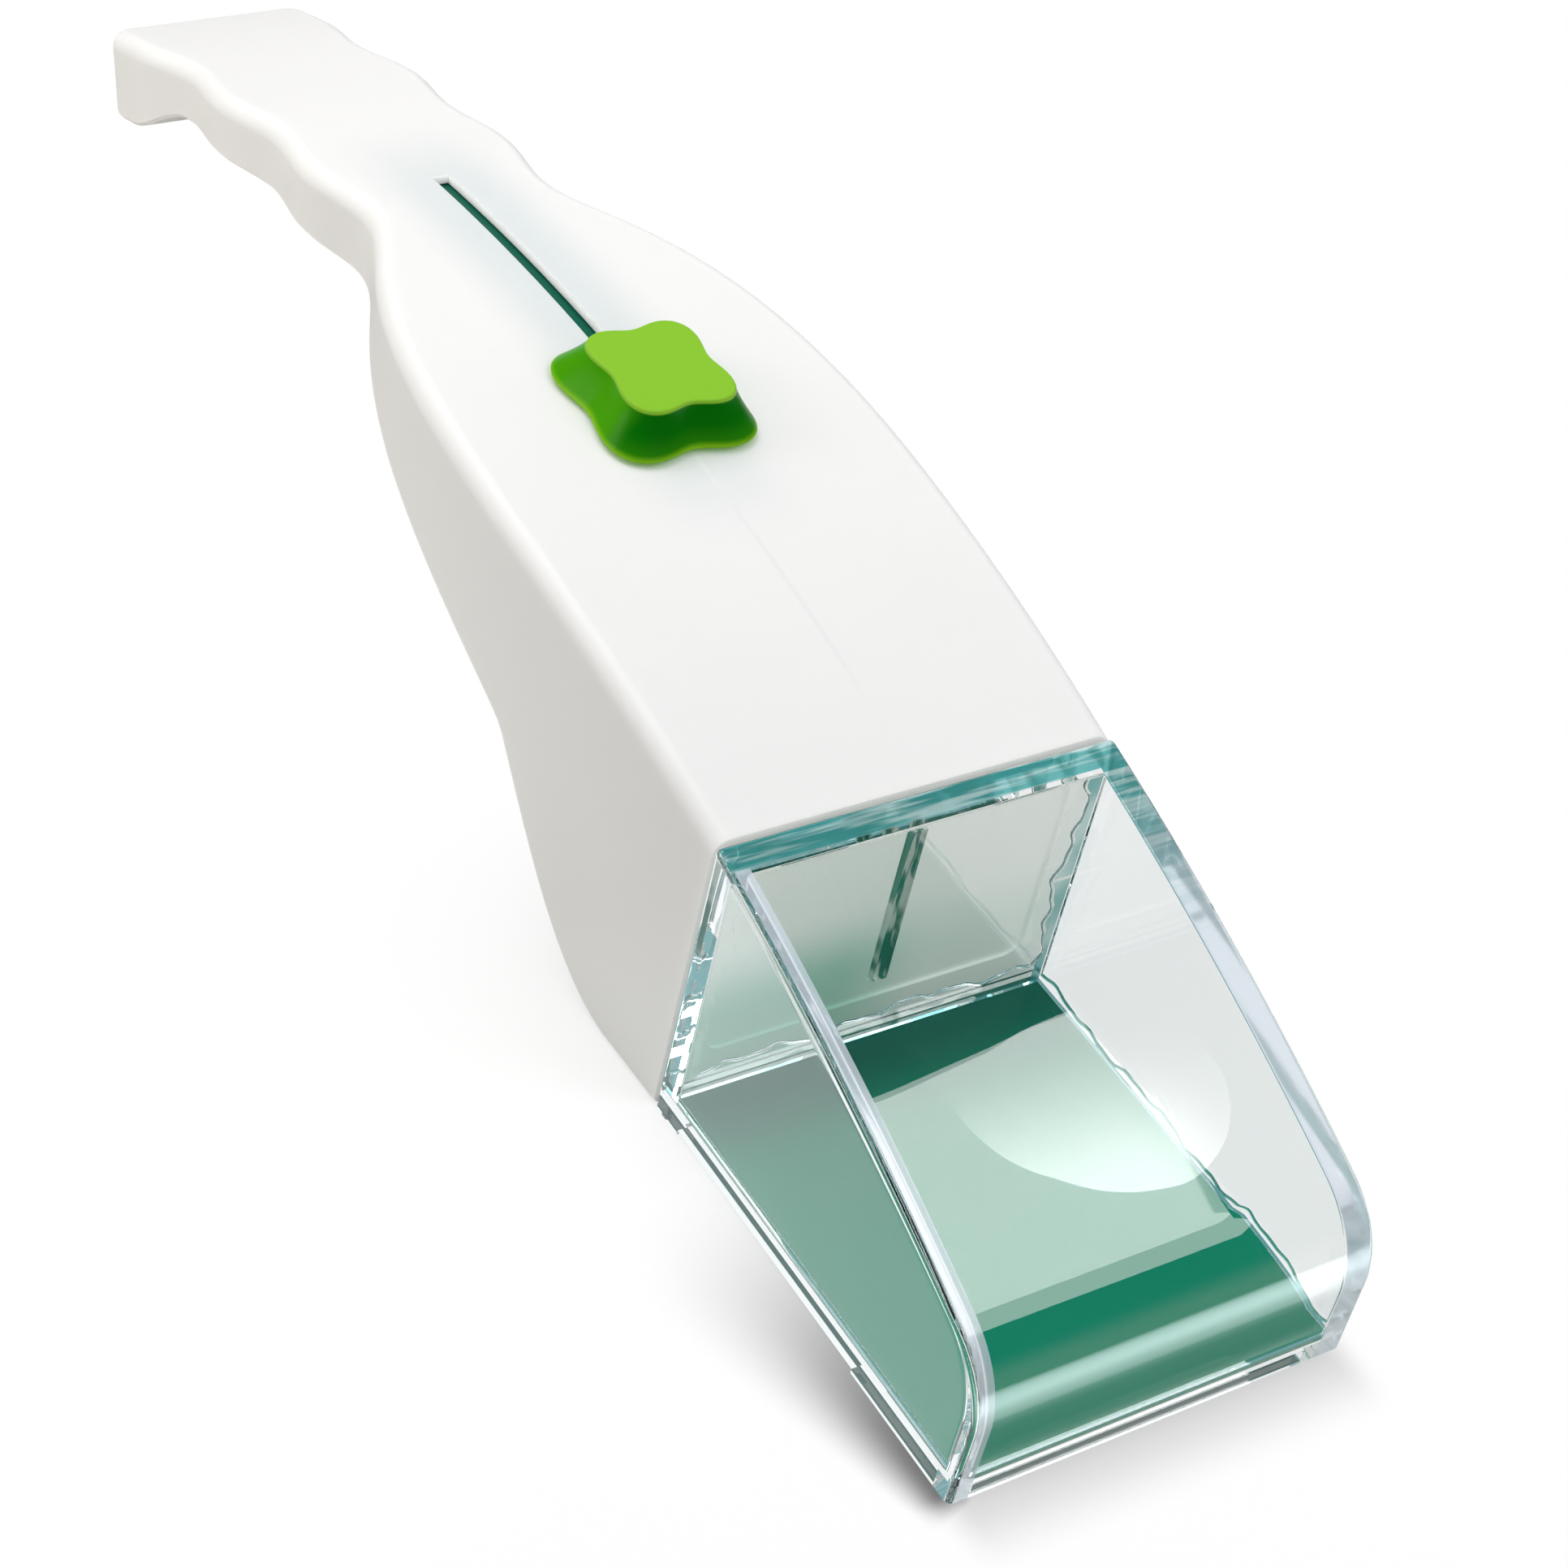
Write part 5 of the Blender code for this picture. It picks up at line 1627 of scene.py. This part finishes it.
# %% Shades on the floor
BOX_MIDDLE = (-0.010, JOINT_Y - HOOD_LENGTH * 0.6, 0.0)
BOX_FRONT = JOINT_Y - HOOD_LENGTH
UNDER_EDGE = (-0.006, -0.002)
SIDE_SHADE = 0.80
SIDE_SHADE_REACH = (0.0050, 0.0200)
SIDE_WIDENING = (BOX_FRONT, BOX_FRONT + 0.041)
SIDE_SHADE_ALONG = (BOX_FRONT + 0.004, BOX_FRONT + 0.060)
SIDE_SHADE_START = (-0.002, 0.003)
FRONT_SHADE = 0.28
FRONT_SHADE_REACH = 0.012
FRONT_SHADE_SOFTNESS = 0.003
CARD_NEAR = 0.004
CARD_BRIGHTEST = 0.042
CARD_FAR = 0.190
CARD_GLOW = 6.2


def distance_before(tree, axes):
    return calculate(tree, "SUBTRACT", BOX_FRONT, axes["Y"])


def side_shade(tree, axes):
    """Shade along the box's left side, darker and narrower to the front."""
    beside = calculate(tree, "SUBTRACT", -HALF_HOOD, axes["X"])
    inputs = {"Value": axes["Y"]}
    inputs["From Min"], inputs["From Max"] = SIDE_WIDENING
    inputs["To Min"], inputs["To Max"] = SIDE_SHADE_REACH
    reach = add_node(tree, "ShaderNodeMapRange", inputs).outputs["Result"]
    shade = fade(tree, calculate(tree, "DIVIDE", beside, reach), 0.0, 1.0)
    shade = times(tree, shade, step_between(tree, beside, *UNDER_EDGE))
    shade = times(tree, shade, fade(tree, axes["Y"], *SIDE_SHADE_ALONG, SIDE_SHADE))
    return times(tree, shade, fade(tree, distance_before(tree, axes), *SIDE_SHADE_START))


def front_shade(tree, axes):
    """Shade before the box's front edge."""
    before = distance_before(tree, axes)
    shade = fade(tree, before, 0.0, FRONT_SHADE_REACH, FRONT_SHADE)
    shade = times(tree, shade, step_between(tree, before, *UNDER_EDGE))
    return times(tree, shade, band(tree, axes["X"], -HALF_HOOD, HALF_HOOD, FRONT_SHADE_SOFTNESS))


def lit_card(tree, axes):
    """Brightness of a lit card that lies before the box, for mirrored rays only."""
    before = distance_before(tree, axes)
    rise = step_between(tree, before, CARD_NEAR, CARD_BRIGHTEST, 0.0, CARD_GLOW)
    return times(tree, rise, fade(tree, before, CARD_BRIGHTEST, CARD_FAR))


# %% Floor
WHITE_LIGHT = (1.0, 1.0, 1.0, 1.0)
BLACK = (0.0, 0.0, 0.0, 1.0)
FLOOR_SIZE = 3.0
FLOOR_DROP = 0.0002
FLOOR_WHITE = (0.93, 0.93, 0.93, 1.0)
FLOOR_BOUNCE = (0.74, 0.72, 0.68, 1.0)
FLOOR_SHADOW_KEPT = 0.35
SHADOW_REACH = (0.055, 0.110)
MIRROR_REACH = (0.090, 0.220)
MIRROR_GLOW = 1.25
MIRROR_TINT = (0.85, 1.0, 1.03, 1.0)
MIRROR_FRONT = 0.20
MIRROR_FRONT_ALONG = (BOX_FRONT - 0.006, BOX_FRONT + 0.012)
FRONT_INSIDE = 0.15
FRONT_FOOT = (BOX_FRONT - 0.013, BOX_FRONT - 0.002, 0.002)


def build_floor_paint():
    material, tree, shader = new_material("white_floor")
    place = place_of(tree)
    axes = axes_of(tree, place)
    away = vector_maths(tree, "DISTANCE", place, BOX_MIDDLE)["Value"]
    ray = add_node(tree, "ShaderNodeLightPath").outputs
    camera_ray, through_box = ray["Is Camera Ray"], ray["Is Transmission Ray"]
    shade = calculate(tree, "MAXIMUM", side_shade(tree, axes), front_shade(tree, axes))
    shade = times(tree, shade, camera_ray)
    foot = times(tree, band(tree, axes["Y"], *FRONT_FOOT), through_box)
    lit = calculate(tree, "SUBTRACT", 1.0, shade)
    lit = times(tree, lit, step_between(tree, foot, 0.0, 1.0, 1.0, FRONT_INSIDE))
    paint = mix_colour(tree, camera_ray, FLOOR_BOUNCE, FLOOR_WHITE)
    paint = mix_colour(tree, shade, paint, BLACK)
    fill(tree, shader, {"Base Color": paint, "Roughness": 0.9, "Specular IOR Level": 0.1})
    mirrored = times(
        tree,
        fade(tree, away, *MIRROR_REACH, MIRROR_GLOW),
        step_between(tree, axes["Y"], *MIRROR_FRONT_ALONG, MIRROR_FRONT, 1.0),
    )
    mirrored = calculate(tree, "ADD", mirrored, lit_card(tree, axes))
    plain = calculate(tree, "MAXIMUM", camera_ray, through_box)
    strength = add_node(tree, "ShaderNodeMix", {0: plain, 2: mirrored, 3: lit}, data_type="FLOAT").outputs[0]
    tint = mix_colour(tree, plain, MIRROR_TINT, WHITE_LIGHT)
    glow = add_node(tree, "ShaderNodeEmission", {"Color": tint, "Strength": strength})
    seen = times(tree, step_between(tree, away, *SHADOW_REACH, 1.0 - FLOOR_SHADOW_KEPT, 1.0), camera_ray)
    other = calculate(tree, "MAXIMUM", through_box, ray["Is Glossy Ray"])
    share = calculate(tree, "MAXIMUM", seen, other)
    inputs = {0: share, 1: shader.outputs[0], 2: glow.outputs[0]}
    set_surface(tree, add_node(tree, "ShaderNodeMixShader", inputs))
    return material


def build_floor():
    corners = ((-1, -1), (1, -1), (1, 1), (-1, 1))
    points = [(x * FLOOR_SIZE, y * FLOOR_SIZE, -FLOOR_DROP) for x, y in corners]
    floor = points_object("floor", points, faces=[(0, 1, 2, 3)])
    floor.data.materials.append(build_floor_paint())


build_floor()
print("floor made")

# %% World
WORLD_FILL = (0.50, 0.50, 0.50, 1.0)
DARK_ROOM = (0.01, 0.01, 0.01, 1.0)
ROOM_THROUGH_BOX = (0.14, 0.34, 0.36, 1.0)
ROOM_HEIGHTS = (-0.05, 0.25)


def build_world():
    world = bpy.data.worlds.new("studio")
    world.use_nodes = True
    tree = world.node_tree
    ray = add_node(tree, "ShaderNodeLightPath").outputs
    height = axes_of(tree, add_node(tree, "ShaderNodeTexCoord").outputs["Generated"])["Z"]
    through = mix_colour(tree, step_between(tree, height, *ROOM_HEIGHTS), WHITE_LIGHT, ROOM_THROUGH_BOX)
    colour = mix_colour(tree, ray["Is Glossy Ray"], WORLD_FILL, DARK_ROOM)
    colour = mix_colour(tree, ray["Is Transmission Ray"], colour, through)
    colour = mix_colour(tree, ray["Is Camera Ray"], colour, WHITE_LIGHT)
    fill(tree, tree.nodes["Background"], {"Color": colour})
    scene.world = world


build_world()
print("world made")

# %% [markdown]
# ## Lamps
#
# One large softbox up on the right is mirrored by the front half of the box's top and lays a pale
# haze over the film. Its far edge ends the haze half way up, and its near edge ends it on the round
# front. An overhead softbox lights the grip, and a warm one its left side. A small round card before
# the first softbox is mirrored as a brighter disc that fades upwards.

# %% Lamps
BOX_TOP = Vector((0.0, -0.120, 0.030))
KEY_REAR_EDGE = Vector((0.405, -0.136, 0.717))
KEY_FRONT_EDGE = Vector((0.432, -0.522, 0.578))
KEY_TO_SIDE = Vector((0.840, 0.235, -0.490))
KEY_LEFT_REACH = 0.300
KEY_RIGHT_REACH = 0.040
KEY_RADIANCE = 4.35
ALONG_GRIP = Vector((0.0, 1.0, 0.0))
GRIP_MIDDLE = Vector((0.0, 0.050, 0.045))
GRIP_LAMP_PLACE = Vector((-0.10, 0.34, 0.78))
GRIP_LAMP_SIZE = (0.50, 0.50)
GRIP_RADIANCE = 4.4
GRIP_SIDE = Vector((-0.018, 0.110, 0.040))
FILL_PLACE = Vector((-0.44, 0.26, 0.26))
FILL_SIZE = (0.40, 0.30)
FILL_RADIANCE = 0.33
FILL_TINT = (1.0, 0.93, 0.82)
FILL_BEAM = 40.0


def add_softbox(name, place, aim, along, size, radiance, tint=(1.0, 1.0, 1.0), beam=180.0):
    """Area lamp that faces aim, with its length towards along, set by the brightness of its face."""
    width, length = size
    lamp_data = bpy.data.lights.new(name, "AREA")
    lamp_data.shape = "RECTANGLE"
    lamp_data.size = width
    lamp_data.size_y = length
    lamp_data.energy = radiance * math.pi * width * length
    lamp_data.color = tint
    lamp_data.spread = math.radians(beam)
    back = (place - aim).normalized()
    side_way = along.cross(back).normalized()
    turned = Matrix((side_way, back.cross(side_way), back)).transposed()
    link_object(name, lamp_data).matrix_world = Matrix.Translation(place) @ turned.to_4x4()


key_along = KEY_REAR_EDGE - KEY_FRONT_EDGE
key_place = (KEY_REAR_EDGE + KEY_FRONT_EDGE) / 2
key_shift = KEY_TO_SIDE * (KEY_RIGHT_REACH - KEY_LEFT_REACH) / 2
key_size = (KEY_RIGHT_REACH + KEY_LEFT_REACH, key_along.length)
add_softbox("key_softbox", key_place + key_shift, BOX_TOP + key_shift, key_along, key_size, KEY_RADIANCE)
add_softbox("grip_softbox", GRIP_LAMP_PLACE, GRIP_MIDDLE, ALONG_GRIP, GRIP_LAMP_SIZE, GRIP_RADIANCE)
add_softbox("left_fill", FILL_PLACE, GRIP_SIDE, ALONG_GRIP, FILL_SIZE, FILL_RADIANCE, FILL_TINT, FILL_BEAM)

# %% Round card
DISC_PLACE = Vector((0.385, -0.180, 0.616))
DISC_HALF_WIDTH = 0.0395
DISC_HALF_LENGTH = 0.0910
DISC_LEAN = 0.0240
DISC_GLOW = 8.0
DISC_LOWER = (-0.9, 0.4)
DISC_INSIDE = (-0.1, 0.9)
DISC_INSIDE_LEAST = 0.25
DISC_STEPS = 64


def share_along(tree, direction, half):
    """Position on the disc along a direction, from -1 at one edge to 1 at the other."""
    arm = vector_maths(tree, "SUBTRACT", place_of(tree), DISC_PLACE)[0]
    return vector_maths(tree, "DOT_PRODUCT", arm, direction / half)["Value"]


def build_disc_paint(upward, to_side):
    material, tree, _ = new_material("lit_disc")
    lower = fade(tree, share_along(tree, upward, DISC_HALF_LENGTH), *DISC_LOWER, DISC_GLOW)
    inside = share_along(tree, to_side, DISC_HALF_WIDTH)
    inside = step_between(tree, inside, *DISC_INSIDE, 1.0, DISC_INSIDE_LEAST)
    glow = add_node(tree, "ShaderNodeEmission", {"Strength": times(tree, lower, inside)})
    behind = add_node(tree, "ShaderNodeBsdfTransparent")
    set_surface(tree, add_node(tree, "ShaderNodeAddShader", {0: glow.outputs[0], 1: behind.outputs[0]}))
    return material


def build_disc():
    """Round lit card that only mirrored rays see, bright at its lower edge and fading upwards."""
    back = (DISC_PLACE - BOX_TOP).normalized()
    across = ALONG_GRIP.cross(back).normalized()
    upward = back.cross(across)
    to_side = KEY_TO_SIDE if across.dot(KEY_TO_SIDE) > 0 else -KEY_TO_SIDE
    leaning = upward * DISC_HALF_LENGTH - KEY_TO_SIDE * DISC_LEAN
    rim = []
    for angle in turns(DISC_STEPS):
        rim.append(DISC_PLACE + across * DISC_HALF_WIDTH * math.cos(angle) + leaning * math.sin(angle))
    disc = points_object("round_card", rim, faces=[tuple(range(DISC_STEPS))])
    disc.data.materials.append(build_disc_paint(upward, to_side))
    disc.visible_camera = False
    disc.visible_diffuse = False
    disc.visible_transmission = False
    disc.visible_shadow = False


build_disc()
print("round card made")

# %% [markdown]
# ## Light paths
#
# Light runs down inside the clear walls by bouncing from side to side many times before it leaves
# at the rim. The default number of bounces would stop it half way and leave the walls dark.

# %% Light paths
scene.cycles.max_bounces = 32
scene.cycles.transmission_bounces = 32
scene.cycles.glossy_bounces = 24
scene.cycles.transparent_max_bounces = 32
print("bounces:", scene.cycles.max_bounces)
